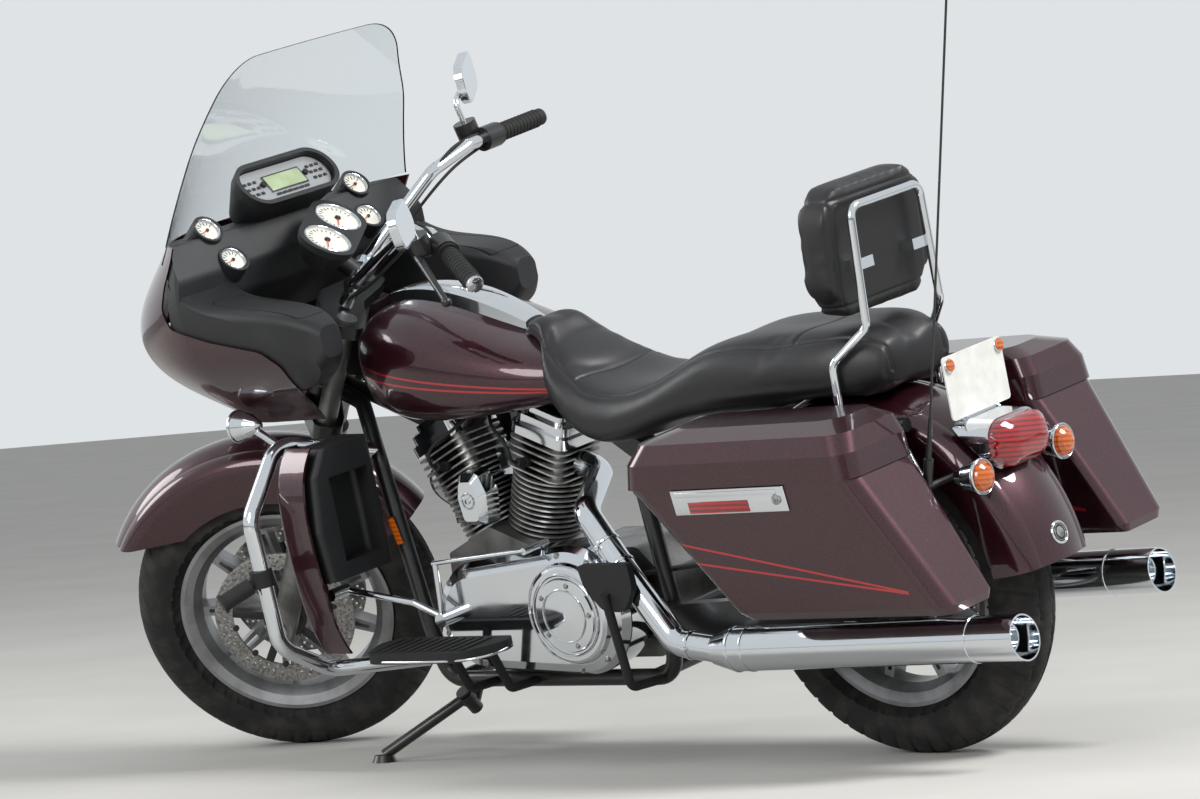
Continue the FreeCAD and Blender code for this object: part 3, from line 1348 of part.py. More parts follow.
def bag_guards():
    """Bright tubes that run under each bag and up behind the fender."""
    pieces = []
    for side in SIDES:
        tube = bent_tube([(1390, side * (SWINGARM_Y + 34), 330), (1424, side * 194, 340),
                          (1824, side * 194, 340),
                          (1838, side * 172, 420), (1834, side * 168, 560), (1768, side * 132, 640)], 8.0,
                          20.0)
        rail = rod(vec(1500, side * REAR_RAIL_Y, REAR_RAIL_Z - 8),
                   vec(1790, side * REAR_RAIL_Y, REAR_RAIL_Z - 8),
                   TUBE_RADIUS - 3)
        pieces.append(tube.cut(rail))
    return Part.makeCompound(pieces)


# Guards, boards and controls

def guard_tube(side):
    return bent_tube([(490, side * 124, 232), (352, side * 262, 250), (345, side * 380, 330),
                      (345, side * 388, 590),
                      (338, side * 268, 712), (436, side * 100, 652)], GUARD_TUBE_RADIUS, 54.0)


def engine_guard():
    tubes = Part.makeCompound([guard_tube(s) for s in SIDES])
    return tubes.cut(frame())


def shield_wire(z, outer):
    """The painted leg shield's outline in plan: a front face that turns back at its outer edge."""
    return rounded_wire([(374, 252), (374, outer), (456, outer + 6), (456, outer), (380, outer - 6),
                         (380, 252)],
                        [0, 14, 0, 0, 9, 0], on_xy(z))


def leg_shields():
    rows = [(292, 296), (400, 330), (540, 340), (650, 326), (706, 288)]
    shield = loft([shield_wire(z, outer) for z, outer in rows])
    return Part.makeCompound([shield, mirrored(shield)])


def shield_pockets():
    """Black inner buckets behind the leg shields, with an open pocket each."""
    rows = [(438, 318), (540, 328), (648, 312), (698, 276)]
    block = loft([rounded_wire([(380.3, 140), (380.3, outer), (462, outer - 4), (474, 150)], [0, 10, 14, 10],
                               on_xy(z))
                  for z, outer in rows], ruled=True)
    pocket = prism([(430, 168), (500, 168), (500, 270), (430, 270)], [12, 0, 0, 12], on_xy(470),
                   vec(0, 0, 170))
    block = block.cut(pocket)
    return Part.makeCompound([block, mirrored(block)]).cut(frame()).cut(
        Part.makeCompound([guard_tube(s) for s in SIDES]))


def highway_pegs():
    pieces = []
    for side in SIDES:
        root = vec(345, side * 388, 472)
        tip = vec(304, side * 452, 446)
        run = (tip - root).normalize()
        pieces.append(fuse([rod(root - vec(0, 0, 16), root + vec(0, 0, 16), 23), rod(root, tip, 11),
                            rod(root + run * 26, tip + run * 8, 17), rod(tip + run * 8, tip + run * 14, 20)]))
    return Part.makeCompound(pieces).cut(Part.makeCompound([guard_tube(s) for s in SIDES]))


BOARD_X = (520.0, 852.0)
BOARD_Y = (240.0, 362.0)
BOARD_Z = 286.0


def footboards():
    """Long rider's boards with rounded ends on two arms each, and the folded passenger boards."""
    (x0, x1), (y0, y1) = BOARD_X, BOARD_Y
    board = prism([(x0 + 26, -y0), (x0, -y0 - 40), (x0 + 34, -y1), (x1 - 50, -y1), (x1, -y0 - 36),
                   (x1 - 16, -y0)],
                  [20, 30, 40, 50, 34, 12], on_xy(BOARD_Z), vec(0, 0, 20))
    arms = [bent_tube([(x, -CRADLE_HALF_WIDTH - TUBE_RADIUS + 2, CRADLE_Z), (x, -206, CRADLE_Z + 6),
                       (x, -246, BOARD_Z + 6), (x, -y0 - 50, BOARD_Z + 8)], 9, 16) for x in (x0 + 144,
                                                                                             x0 + 250)]
    rider = fuse([board] + arms)
    folded = prism([(1042, 440), (1050, 398), (1086, 350), (1140, 346), (1170, 392), (1168, 440)],
                   [8, 30, 30, 30, 30, 8], on_xz(-246), vec(0, 16, 0))
    arm = bent_tube([(1098, -CRADLE_HALF_WIDTH - TUBE_RADIUS + 2, CRADLE_Z), (1098, -224, CRADLE_Z + 10),
                     (1100, -242, 330), (1104, -252, 384)], 9, 20)
    passenger = fuse([folded, arm])
    left = [rider, passenger]
    return Part.makeCompound(left + [mirrored(s) for s in left]).cut(frame())


def shift_lever():
    """Toe lever on its shaft, with the bright link rod that runs back over the primary."""
    x, z = CRANK
    pivot = vec(x - 62, -196, z + 8)
    lever = bent_tube([(pivot.x + 10, pivot.y - 18, pivot.z), (pivot.x - 60, -226, 372), (424, -248, 408)],
                      6.5, 20)
    peg = rod(vec(424, -244, 408), vec(424, -292, 408), 12)
    hub = rod(pivot + vec(0, 30, 0), pivot + vec(0, -28, 0), 14)
    upright = rod(pivot + vec(0, -20, 0), vec(646, -214, 446), 6)
    link = rod(vec(640, -214, 446), vec(880, -206, 462), 5)
    end = rod(vec(880, -210, 462), vec(880, -140, 462), 7)
    return fuse([lever, peg, hub, upright, link, end]).cut(primary_cover())


def brake_pedal():
    """Broad brake pad ahead of the right board, on an arm from the cradle."""
    arm = bent_tube([(612, CRADLE_HALF_WIDTH + 12, 194), (600, 205, 250), (520, 226, 330), (446, 262, 392)],
                    8, 26)
    pad = prism([(418, 236), (470, 236), (476, 300), (414, 300)], 12, on_xy(392), vec(0, 0, 12))
    return fuse([arm, pad]).cut(frame())


def rear_caliper():
    y0 = REAR_HUB_HALF
    c = vec(WHEELBASE, 0, REAR_TYRE_RADIUS)
    low, high = y0 - 22, SWINGARM_Y
    block = prism([(WHEELBASE - 150, 360), (WHEELBASE - 90, 360), (WHEELBASE - 66, 420),
                   (WHEELBASE - 92, 466),
                   (WHEELBASE - 146, 440)], [10, 14, 14, 16, 12], on_xz(low), vec(0, high - low, 0))
    slit = Part.makeCylinder(DISC_RADIUS + 6, DISC_THICKNESS + 11, c + vec(0, y0 - 5.5, 0), vec(0, 1, 0))
    bracket = prism([(WHEELBASE - 150, 332), (WHEELBASE - 90, 332), (WHEELBASE - 90, 380),
                     (WHEELBASE - 150, 380)], 6,
                    on_xz(y0 + DISC_THICKNESS + 12),
                    vec(0, SWINGARM_Y - y0 - DISC_THICKNESS - 12 - SEAT_GAP, 0))
    return fuse([block.cut(slit), bracket])


def antenna():
    """Whip aerial on a small bracket from the fender's left flank."""
    root = vec(1856, -176, 556)
    top = root + vec(246, 0, 858) * ((ANTENNA_TOP_Z - root.z) / 858)
    run = (top - root).normalize()
    bracket = rod(vec(root.x, -REAR_FENDER_HALF - SEAT_GAP, 544), vec(root.x, root.y - 6, 544), 7)
    return fuse([bracket, rod(root - run * 14, root + run * 40, 9),
                 rod(root + run * 38, root + run * 120, 5.5, 3.5),
                 rod(root + run * 118, top, 2.2)])


# Stand

def stand_vectors(ground):
    """Pivot, foot, stowed end and hinge axis of the side stand; ground gives the floor's height."""
    pivot = vec(*STAND_PIVOT)
    foot = vec(STAND_FOOT_X, STAND_FOOT_Y, ground(STAND_FOOT_X, STAND_FOOT_Y))
    down = foot - pivot
    stowed = vec(*STAND_STOWED)
    axis = down.cross(stowed).normalize()
    return pivot, foot, axis, math.degrees(down.getAngle(stowed))


STAND_EYE_HALF = 10.0


def side_stand(pose):
    pivot, foot, axis, _ = stand_vectors(pose.ground)
    up = pose.floor_normal()
    eye = rod(pivot - axis * STAND_EYE_HALF, pivot + axis * STAND_EYE_HALF, 17)
    run = (foot - pivot).normalize()
    leg = rod(pivot + run * 10, foot + up * 14, STAND_LEG_RADIUS)
    pad = rod(foot, foot + up * 14, 25, 19)
    return fuse([eye, leg, pad]).cut(rod(pivot - axis * 40, pivot + axis * 40, 9 + RUNNING_FIT))


def stand_lug(pose):
    """The frame's boss and pin that carry the stand."""
    pivot, _, axis, _ = stand_vectors(pose.ground)
    pin = rod(pivot - axis * 36, pivot + axis * (STAND_EYE_HALF + 6), 9)
    boss = rod(pivot - axis * 38, pivot - axis * (STAND_EYE_HALF + 1.5), 14)
    head = rod(pivot + axis * (STAND_EYE_HALF + 1.5), pivot + axis * (STAND_EYE_HALF + 7), 14)
    strut = rod(pivot - axis * 30, vec(pivot.x, -CRADLE_HALF_WIDTH + 3, CRADLE_Z - 8), 9)
    return fuse([pin, boss, head, strut])


# Standing pose

class Pose:
    """Leans the upright machine until both tyres touch the floor."""

    def __init__(self):
        self.pitch, self.lift = 0.0, 0.0
        steer = FreeCAD.Rotation(vec(math.sin(math.radians(RAKE)), 0, math.cos(math.radians(RAKE))),
                                 STEERING_LOCK)
        self.lean = FreeCAD.Rotation(vec(1, 0, 0), LEAN)
        across = vec(0, 1, 0)
        axles = [(vec(*FRONT_CENTRE), steer.multVec(across),
                  tyre_profile(FRONT_TYRE_RADIUS, FRONT_TYRE_WIDTH)),
                 (vec(*REAR_CENTRE), across, tyre_profile(REAR_TYRE_RADIUS, REAR_TYRE_WIDTH))]
        for _ in range(6):
            front, rear = [self.lowest(*a) for a in axles]
            self.pitch += math.degrees(math.atan2(rear - front, WHEELBASE))
        self.lift = -self.lowest(*axles[1])
        self.shift = vec(0, 0, 0)

    def turn(self):
        return self.lean.multiply(FreeCAD.Rotation(vec(0, 1, 0), self.pitch))

    def lowest(self, centre, axle, profile):
        """The lowest point of a tyre, which is on one of the rings that its profile's corners draw."""
        turn = self.turn()
        tilt = turn.multVec(axle).z
        return min(turn.multVec(centre).z + across * tilt - r * math.sqrt(1 - tilt ** 2) for across,
                   r in profile)

    def floor_normal(self):
        return self.turn().inverted().multVec(vec(0, 0, 1))

    def ground(self, x, y):
        """Height of the floor under a point of the upright machine."""
        up = self.floor_normal()
        return (-self.lift - up.x * x - up.y * y) / up.z

    def placement(self):
        return FreeCAD.Placement(vec(0, 0, self.lift) + self.shift, self.turn())


def steering_placement():
    """Turns the straight-ahead front end to its left stop."""
    axis = vec(math.sin(math.radians(RAKE)), 0, math.cos(math.radians(RAKE)))
    return FreeCAD.Placement(vec(0, 0, 0), FreeCAD.Rotation(axis, STEERING_LOCK), vec(*FRONT_CENTRE))


FRONT_END = {
    "front_tyre": front_tyre, "front_wheel": front_wheel, "front_discs": front_discs, "fork_legs": fork_legs,
    "triple_clamps": triple_clamps, "handlebar": handlebar, "grips": grips, "switchgear": switchgear,
    "mirrors": mirrors, "gauge_pod": gauge_pod, "front_calipers": front_calipers,
    "front_fender": front_fender,
}

FIXED = {
    "rear_tyre": [rear_tyre], "rear_wheel": [rear_wheel], "rear_disc": [rear_disc],
    "rear_pulley": [rear_pulley],
    "swingarm": [swingarm, rear_caliper], "shock_absorbers": [shock_absorbers], "drive_belt": [drive_belt],
    "engine_cases": [crankcase, gearbox], "cylinders": [cylinders],
    "engine_covers": [rocker_covers, timing_cover],
    "air_cleaner": [air_cleaner], "horn": [horn], "primary_cover": [primary_cover], "exhaust": [exhaust],
    "fuel_tank": [fuel_tank], "tank_console": [tank_console], "fuel_door": [fuel_door],
    "fairing_shell": [fairing_shell], "fairing_dash": [fairing_dash], "radio": [radio],
    "glove_door_left": [glove_door_left], "glove_door_right": [glove_door_right], "headlamp": [headlamp],
    "windshield": [windshield], "seat": [seat], "backrest_pad": [backrest_pad],
    "backrest_frame": [backrest_frame],
    "rear_fender": [rear_fender], "tail_lamp": [tail_lamp], "licence_plate": [licence_plate],
    "signal_housings": [signal_housings], "lenses": [tail_lens, signal_lenses],
    "saddlebag_left": [saddlebag_left], "saddlebag_right": [saddlebag_right], "bag_lid_left": [bag_lid_left],
    "bag_lid_right": [bag_lid_right], "guards": [engine_guard, bag_guards], "leg_shields": [leg_shields],
    "shield_pockets": [shield_pockets], "footrests": [footboards, highway_pegs],
    "foot_controls": [shift_lever, brake_pedal], "antenna": [antenna],
}


def assembled(makers):
    """One piece, or the solids of several like pieces that share a name."""
    shapes = [make() for make in makers]
    if len(shapes) == 1:
        return shapes[0]
    return Part.makeCompound([solid for shape in shapes for solid in shape.Solids])


def extent(shapes):
    """Middle of the whole machine in plan."""
    points = [p for shape in shapes for p in shape.tessellate(1.0)[0]]
    xs, ys = [p.x for p in points], [p.y for p in points]
    return (min(xs) + max(xs)) / 2, (min(ys) + max(ys)) / 2


def build_all():
    """Every piece by name where it stands, and the pose that put it there."""
    pose = Pose()
    steering = steering_placement()
    shapes = {name: assembled(makers) for name, makers in FIXED.items()}
    shapes["frame"] = fuse([frame(), stand_lug(pose)])
    shapes["side_stand"] = side_stand(pose)
    for name, make in FRONT_END.items():
        shapes[name] = make().transformed(steering.toMatrix(), True)
    place = pose.placement().toMatrix()
    shapes = {name: shape.transformed(place, True) for name, shape in shapes.items()}
    middle = extent(shapes.values())
    pose.shift = vec(-middle[0], -middle[1], 0)
    for shape in shapes.values():
        shape.translate(pose.shift)
    return shapes, pose


def main():
    os.makedirs("parts", exist_ok=True)
    shapes, _ = build_all()
    for name, shape in shapes.items():
        if not shape.isValid():
            print("invalid", name)
        shape.exportStep(f"parts/{name}.step")


if __name__ == "__main__":
    main()
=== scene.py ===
import json
import math

import bpy
from mathutils import Matrix, Vector


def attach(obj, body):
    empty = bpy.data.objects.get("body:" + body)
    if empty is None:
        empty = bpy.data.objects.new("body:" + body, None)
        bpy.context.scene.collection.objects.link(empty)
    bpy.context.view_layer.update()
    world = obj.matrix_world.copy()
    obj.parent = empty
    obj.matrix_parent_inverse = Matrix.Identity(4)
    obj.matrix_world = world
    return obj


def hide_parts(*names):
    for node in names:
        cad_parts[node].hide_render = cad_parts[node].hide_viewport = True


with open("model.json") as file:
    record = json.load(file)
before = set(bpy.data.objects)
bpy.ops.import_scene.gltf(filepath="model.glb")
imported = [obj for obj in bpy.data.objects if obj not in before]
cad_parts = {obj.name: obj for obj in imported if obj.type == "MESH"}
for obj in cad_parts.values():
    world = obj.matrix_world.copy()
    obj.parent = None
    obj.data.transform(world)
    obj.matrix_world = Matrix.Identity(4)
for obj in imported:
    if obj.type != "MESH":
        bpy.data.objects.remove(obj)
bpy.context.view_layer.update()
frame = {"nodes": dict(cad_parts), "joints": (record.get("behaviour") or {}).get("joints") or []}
nodes = frame["nodes"]
joints = {joint["name"]: joint for joint in frame["joints"]}
sides = (-1, 1)
print("frame loaded,", len(nodes), "nodes")

# The machine's own axes in millimetres: x rearwards from the front axle, y to the rider's right, z up
wheelbase = 1613
frontRadius, rearRadius = 320, 322
rakeAngle, steerAngle = 26, 32.8


def machineMatrix():
    frontAxle = Vector(joints["front_wheel_spin"]["pos_m"])
    rearAxle = Vector(joints["rear_wheel_spin"]["pos_m"])
    across = Vector(joints["rear_wheel_spin"]["axis"]).normalized()
    along = (rearAxle - frontAxle).normalized()
    upward = along.cross(across).normalized()
    climb = math.atan2(rearRadius - frontRadius, wheelbase)
    xAxis = along * math.cos(climb) - upward * math.sin(climb)
    zAxis = upward * math.cos(climb) + along * math.sin(climb)
    turn = Matrix((xAxis, across, zAxis)).transposed().to_4x4()
    origin = frontAxle - zAxis * frontRadius / 1000
    return Matrix.Translation(origin) @ turn @ Matrix.Scale(0.001, 4)


machine = machineMatrix()
steerAxis = Vector((math.sin(math.radians(rakeAngle)), 0, math.cos(math.radians(rakeAngle))))
frontHub = Vector((0, 0, frontRadius))
rearHub = Vector((wheelbase, 0, rearRadius))
turnedFork = (machine @ Matrix.Translation(frontHub)
              @ Matrix.Rotation(math.radians(steerAngle), 4, steerAxis) @ Matrix.Translation(-frontHub))
millimetre = 0.001


# Small tools

def linear(hexColour):
    parts = [int(hexColour[i:i + 2], 16) / 255 for i in (1, 3, 5)]
    return tuple([c / 12.92 if c <= 0.04045 else ((c + 0.055) / 1.055) ** 2.4 for c in parts] + [1.0])


def addNode(material, kind, inputs=None, stops=(), into=None, **settings):
    # An input is a number, a socket, or a node whose first output is used. stops are a ramp's places and
    # colours, and into is the socket that the new node feeds
    node = material.node_tree.nodes.new(kind)
    links = material.node_tree.links
    for name, value in settings.items():
        setattr(node, name, value)
    for i, (position, colour) in enumerate(stops):
        node.color_ramp.elements[i].position = position
        node.color_ramp.elements[i].color = linear(colour)
    for name, value in (inputs or {}).items():
        if isinstance(value, bpy.types.Node):
            value = value.outputs[0]
        if isinstance(value, bpy.types.NodeSocket):
            links.new(value, node.inputs[name])
        else:
            node.inputs[name].default_value = value
    if into:
        links.new(node.outputs[0], into)
    return node


def newMaterial(name, colour, metallic, roughness, **more):
    material = bpy.data.materials.new(name)
    material.use_nodes = True
    shader = material.node_tree.nodes["Principled BSDF"]
    shader.inputs["Base Color"].default_value = linear(colour)
    shader.inputs["Metallic"].default_value = metallic
    shader.inputs["Roughness"].default_value = roughness
    for socket, value in more.items():
        shader.inputs[socket.replace("_", " ")].default_value = value
    place = addNode(material, "ShaderNodeTexCoord").outputs["Object"]
    return material, shader, place


# Materials

def pearlPaint(name, stripes=()):
    # Automotive basecoat with pearl under a sprayed clear coat: near black in shade, cherry in the light
    material, shader, place = newMaterial(name, "#300c17", 0.6, 0.3, Coat_Weight=1.0, Coat_Roughness=0.025)
    flakes = addNode(material, "ShaderNodeTexVoronoi", {"Vector": place, "Scale": 1 / (1.1 * millimetre)})
    grey = addNode(material, "ShaderNodeSeparateColor", {"Color": flakes.outputs["Color"]}).outputs["Red"]
    colour = addNode(material, "ShaderNodeValToRGB", {"Fac": grey},
                     ((0.1, "#1f0710"), (0.95, "#471422"))).outputs["Color"]
    for start, end in stripes:
        colour = pinstripe(material, place, colour, Vector(start), Vector(end))
    material.node_tree.links.new(colour, shader.inputs["Base Color"])
    cloud = addNode(material, "ShaderNodeTexNoise", {"Vector": place, "Scale": 1 / (160 * millimetre)})
    addNode(material, "ShaderNodeMapRange", {"Value": cloud, "To Min": 0.28, "To Max": 0.4},
            into=shader.inputs["Roughness"])
    return material


def pinstripe(material, place, colour, start, end):
    # A hand-laid line between two points of the machine's side, x and z in millimetres
    settings = {"halfWidth": 2.1, "ink": "#b3262c"}
    rise = (end.y - start.y) / (end.x - start.x)
    origin = machine @ Vector((0, 0, 0))
    xAxis = (machine @ Vector((1000, 0, 0)) - origin)
    zAxis = (machine @ Vector((0, 0, 1000)) - origin)
    local = addNode(material, "ShaderNodeVectorMath", {0: place, 1: origin}, operation="SUBTRACT")
    x = addNode(material, "ShaderNodeVectorMath", {0: local, 1: xAxis},
                operation="DOT_PRODUCT").outputs["Value"]
    z = addNode(material, "ShaderNodeVectorMath", {0: local, 1: zAxis},
                operation="DOT_PRODUCT").outputs["Value"]
    onLine = addNode(material, "ShaderNodeMath", {0: x, 1: rise, 2: (start.y - rise * start.x) * millimetre},
                     operation="MULTIPLY_ADD")
    away = addNode(material, "ShaderNodeMath", {0: z, 1: onLine, 2: settings["halfWidth"] * millimetre},
                   operation="COMPARE")
    middle, half = (start.x + end.x) / 2 * millimetre, abs(end.x - start.x) / 2 * millimetre
    inRun = addNode(material, "ShaderNodeMath", {0: x, 1: middle, 2: half}, operation="COMPARE")
    both = addNode(material, "ShaderNodeMath", {0: away, 1: inRun}, operation="MULTIPLY")
    mix = addNode(material, "ShaderNodeMix", {"Factor": both, "A": colour}, data_type="RGBA")
    mix.inputs["B"].default_value = linear(settings["ink"])
    return mix.outputs["Result"]


def chromePlate():
    # Decorative chrome on steel, buffed: mirror-like with a film of road dust
    material, shader, place = newMaterial("chromePlate", "#d9dde1", 1.0, 0.07)
    dust = addNode(material, "ShaderNodeTexNoise",
                   {"Vector": place, "Scale": 1 / (60 * millimetre), "Detail": 5.0})
    addNode(material, "ShaderNodeMapRange",
            {"Value": dust, "From Min": 0.35, "From Max": 0.75, "To Min": 0.05, "To Max": 0.16},
            into=shader.inputs["Roughness"])
    return material


def castAlloy(name, light, dark, roughness, grain):
    # Sand-cast aluminium under a clear lacquer: satin, slightly pebbled, darker where grime sits
    material, shader, place = newMaterial(name, light, 0.85, roughness)
    grime = addNode(material, "ShaderNodeTexNoise",
                    {"Vector": place, "Scale": 1 / (70 * millimetre), "Detail": 6.0})
    addNode(material, "ShaderNodeValToRGB", {"Fac": grime}, ((0.3, dark), (0.6, light)),
            shader.inputs["Base Color"])
    grit = addNode(material, "ShaderNodeTexNoise", {"Vector": place, "Scale": 1 / (grain * millimetre)})
    addNode(material, "ShaderNodeBump", {"Height": grit, "Strength": 0.35, "Distance": 0.25 * millimetre},
            into=shader.inputs["Normal"])
    return material


def finnedAlloy():
    # Cast silver-grey barrels with painted shade: dark between the fins, so that only the fins' edges stay
    # bright
    material, shader, place = newMaterial("finnedAlloy", "#5d5d5c", 0.8, 0.42)
    crank = Vector((700, 0, 325))
    nearest = None
    for lean in (-22.5, 22.5):
        axis = Vector((math.sin(math.radians(lean)), 0, math.cos(math.radians(lean))))
        origin = machine @ crank
        direction = (machine @ (crank + axis * 1000) - origin)
        local = addNode(material, "ShaderNodeVectorMath", {0: place, 1: origin}, operation="SUBTRACT")
        crossed = addNode(material, "ShaderNodeVectorMath", {0: local, 1: direction}, operation="CROSS_PRODUCT")
        away = addNode(material, "ShaderNodeVectorMath", {0: crossed}, operation="LENGTH").outputs["Value"]
        if nearest is None:
            nearest = away
        else:
            nearest = addNode(material, "ShaderNodeMath", {0: nearest, 1: away}, operation="MINIMUM")
    # edge is 0 near each barrel's axis, deep between the fins, where the dark colour is painted shade, and 1 at
    # the fins' edges
    edge = addNode(material, "ShaderNodeMapRange", {"Value": nearest, "From Min": 0.060, "From Max": 0.0745})
    grime = addNode(material, "ShaderNodeTexNoise",
                    {"Vector": place, "Scale": 1 / (25 * millimetre), "Detail": 4.0})
    # painted shade between the fins times a random grime noise; the ramp's dark end is this painted shade and
    # grime, its light end the alloy's own silver-grey
    finShadeAndGrime = addNode(material, "ShaderNodeMath", {0: edge.outputs["Result"], 1: grime}, operation="MULTIPLY")
    addNode(material, "ShaderNodeValToRGB", {"Fac": finShadeAndGrime}, ((0.12, "#1d1d1e"), (0.5, "#b9b9b6")),
            shader.inputs["Base Color"])
    grit = addNode(material, "ShaderNodeTexNoise", {"Vector": place, "Scale": 1 / (1.5 * millimetre)})
    addNode(material, "ShaderNodeBump", {"Height": grit, "Strength": 0.4, "Distance": 0.3 * millimetre},
            into=shader.inputs["Normal"])
    return material


def groundSteel():
    # Stainless brake steel, ground flat and swept by the pads
    material, shader, place = newMaterial("groundSteel", "#a3a3a2", 1.0, 0.3)
    streak = addNode(material, "ShaderNodeTexNoise",
                     {"Vector": place, "Scale": 1 / (6 * millimetre), "Detail": 8.0})
    addNode(material, "ShaderNodeValToRGB", {"Fac": streak}, ((0.35, "#7f7e7c"), (0.65, "#bdbcb9")),
            shader.inputs["Base Color"])
    return material


def satinBlack():
    # Powder-coated steel: even satin black with a faint orange peel
    material, shader, place = newMaterial("satinBlack", "#121213", 0.0, 0.38, Coat_Weight=0.3,
                                          Coat_Roughness=0.2)
    grit = addNode(material, "ShaderNodeTexNoise", {"Vector": place, "Scale": 1 / (2.5 * millimetre)})
    addNode(material, "ShaderNodeBump", {"Height": grit, "Strength": 0.15, "Distance": 0.2 * millimetre},
            into=shader.inputs["Normal"])
    dust = addNode(material, "ShaderNodeTexNoise",
                   {"Vector": place, "Scale": 1 / (90 * millimetre), "Detail": 6.0})
    addNode(material, "ShaderNodeValToRGB", {"Fac": dust}, ((0.4, "#0e0e0f"), (0.75, "#1c1b1a")),
            shader.inputs["Base Color"])
    return material


def grainedPlastic():
    # Injection-moulded ABS with a fine leather grain, dull black
    material, shader, place = newMaterial("grainedPlastic", "#17181a", 0.0, 0.52)
    cells = addNode(material, "ShaderNodeTexVoronoi", {"Vector": place, "Scale": 1 / (1.4 * millimetre)})
    addNode(material, "ShaderNodeBump", {"Height": cells.outputs["Distance"], "Strength": 0.45,
                                         "Distance": 0.35 * millimetre},
            into=shader.inputs["Normal"])
    fade = addNode(material, "ShaderNodeTexNoise",
                   {"Vector": place, "Scale": 1 / (120 * millimetre), "Detail": 3.0})
    addNode(material, "ShaderNodeValToRGB", {"Fac": fade}, ((0.35, "#131416"), (0.7, "#1f2022")),
            shader.inputs["Base Color"])
    return material


def treadRubber():
    # Road tyre rubber: dull grey-black, with pale dust from the gravel on its tread and flanks
    material, shader, place = newMaterial("treadRubber", "#1a1a1a", 0.0, 0.86)
    dust = addNode(material, "ShaderNodeTexNoise",
                   {"Vector": place, "Scale": 1 / (45 * millimetre), "Detail": 8.0})
    addNode(material, "ShaderNodeValToRGB", {"Fac": dust}, ((0.45, "#171717"), (0.8, "#3a3733")),
            shader.inputs["Base Color"])
    grit = addNode(material, "ShaderNodeTexNoise", {"Vector": place, "Scale": 1 / (1.2 * millimetre)})
    addNode(material, "ShaderNodeBump", {"Height": grit, "Strength": 0.3, "Distance": 0.3 * millimetre},
            into=shader.inputs["Normal"])
    return material


def mouldedRubber():
    # Moulded nitrile: soft, even, nearly black
    material, shader, place = newMaterial("mouldedRubber", "#131313", 0.0, 0.72)
    grit = addNode(material, "ShaderNodeTexNoise", {"Vector": place, "Scale": 1 / (1.0 * millimetre)})
    addNode(material, "ShaderNodeBump", {"Height": grit, "Strength": 0.3, "Distance": 0.2 * millimetre},
            into=shader.inputs["Normal"])
    return material


def seatLeather():
    # Upholstery vinyl with a leather grain, polished a little where riders sit
    material, shader, place = newMaterial("seatLeather", "#151416", 0.0, 0.4, Specular_IOR_Level=0.55)
    grain = addNode(material, "ShaderNodeTexVoronoi", {"Vector": place, "Scale": 1 / (2.2 * millimetre)})
    crease = addNode(material, "ShaderNodeTexNoise",
                     {"Vector": place, "Scale": 1 / (35 * millimetre), "Detail": 6.0})
    height = addNode(material, "ShaderNodeMath", {0: grain.outputs["Distance"], 1: 0.5, 2: crease},
                     operation="MULTIPLY_ADD")
    addNode(material, "ShaderNodeBump", {"Height": height, "Strength": 0.4, "Distance": 0.5 * millimetre},
            into=shader.inputs["Normal"])
    wear = addNode(material, "ShaderNodeTexNoise",
                   {"Vector": place, "Scale": 1 / (150 * millimetre), "Detail": 3.0})
    addNode(material, "ShaderNodeMapRange", {"Value": wear, "To Min": 0.34, "To Max": 0.5},
            into=shader.inputs["Roughness"])
    return material


def clearPlastic(name, colour, roughness, ior):
    # Clear polycarbonate, polished on both faces
    material, shader, place = newMaterial(name, colour, 0.0, roughness, Transmission_Weight=1.0, IOR=ior)
    haze = addNode(material, "ShaderNodeTexNoise",
                   {"Vector": place, "Scale": 1 / (80 * millimetre), "Detail": 4.0})
    addNode(material, "ShaderNodeMapRange",
            {"Value": haze, "To Min": roughness * 0.6, "To Max": roughness * 1.6},
            into=shader.inputs["Roughness"])
    return material


def ribbedLens(name, colour, deep):
    # Dyed acrylic, moulded with prisms on its inside
    material, shader, place = newMaterial(name, colour, 0.0, 0.12, Transmission_Weight=0.35, IOR=1.49,
                                          Coat_Weight=1.0, Coat_Roughness=0.04)
    wave = addNode(material, "ShaderNodeTexWave", {"Vector": place, "Scale": 1 / (28 * millimetre)},
                   bands_direction="Z")
    addNode(material, "ShaderNodeValToRGB", {"Fac": wave.outputs["Fac"]}, ((0.1, deep), (0.7, colour)),
            shader.inputs["Base Color"])
    addNode(material, "ShaderNodeBump", {"Height": wave.outputs["Fac"], "Strength": 0.25,
                                         "Distance": 0.4 * millimetre},
            into=shader.inputs["Normal"])
    return material


def plainEnamel(name, colour, shade, roughness):
    # Printed or sprayed enamel, a little uneven in tone
    material, shader, place = newMaterial(name, colour, 0.0, roughness)
    tone = addNode(material, "ShaderNodeTexNoise",
                   {"Vector": place, "Scale": 1 / (30 * millimetre), "Detail": 4.0})
    addNode(material, "ShaderNodeValToRGB", {"Fac": tone}, ((0.35, shade), (0.65, colour)),
            shader.inputs["Base Color"])
    return material


def silverLacquer():
    # Metallic silver lacquer on a moulded face
    material, shader, place = newMaterial("silverLacquer", "#a9abad", 0.6, 0.36)
    tone = addNode(material, "ShaderNodeTexNoise", {"Vector": place, "Scale": 1 / (0.8 * millimetre)})
    addNode(material, "ShaderNodeValToRGB", {"Fac": tone}, ((0.35, "#9a9c9e"), (0.65, "#b7b9bb")),
            shader.inputs["Base Color"])
    return material


def mirrorGlass():
    # Silvered glass with a slight dusting
    material, shader, place = newMaterial("mirrorGlass", "#e6ebee", 1.0, 0.03)
    dust = addNode(material, "ShaderNodeTexNoise",
                   {"Vector": place, "Scale": 1 / (20 * millimetre), "Detail": 4.0})
    addNode(material, "ShaderNodeMapRange", {"Value": dust, "To Min": 0.01, "To Max": 0.06},
            into=shader.inputs["Roughness"])
    return material


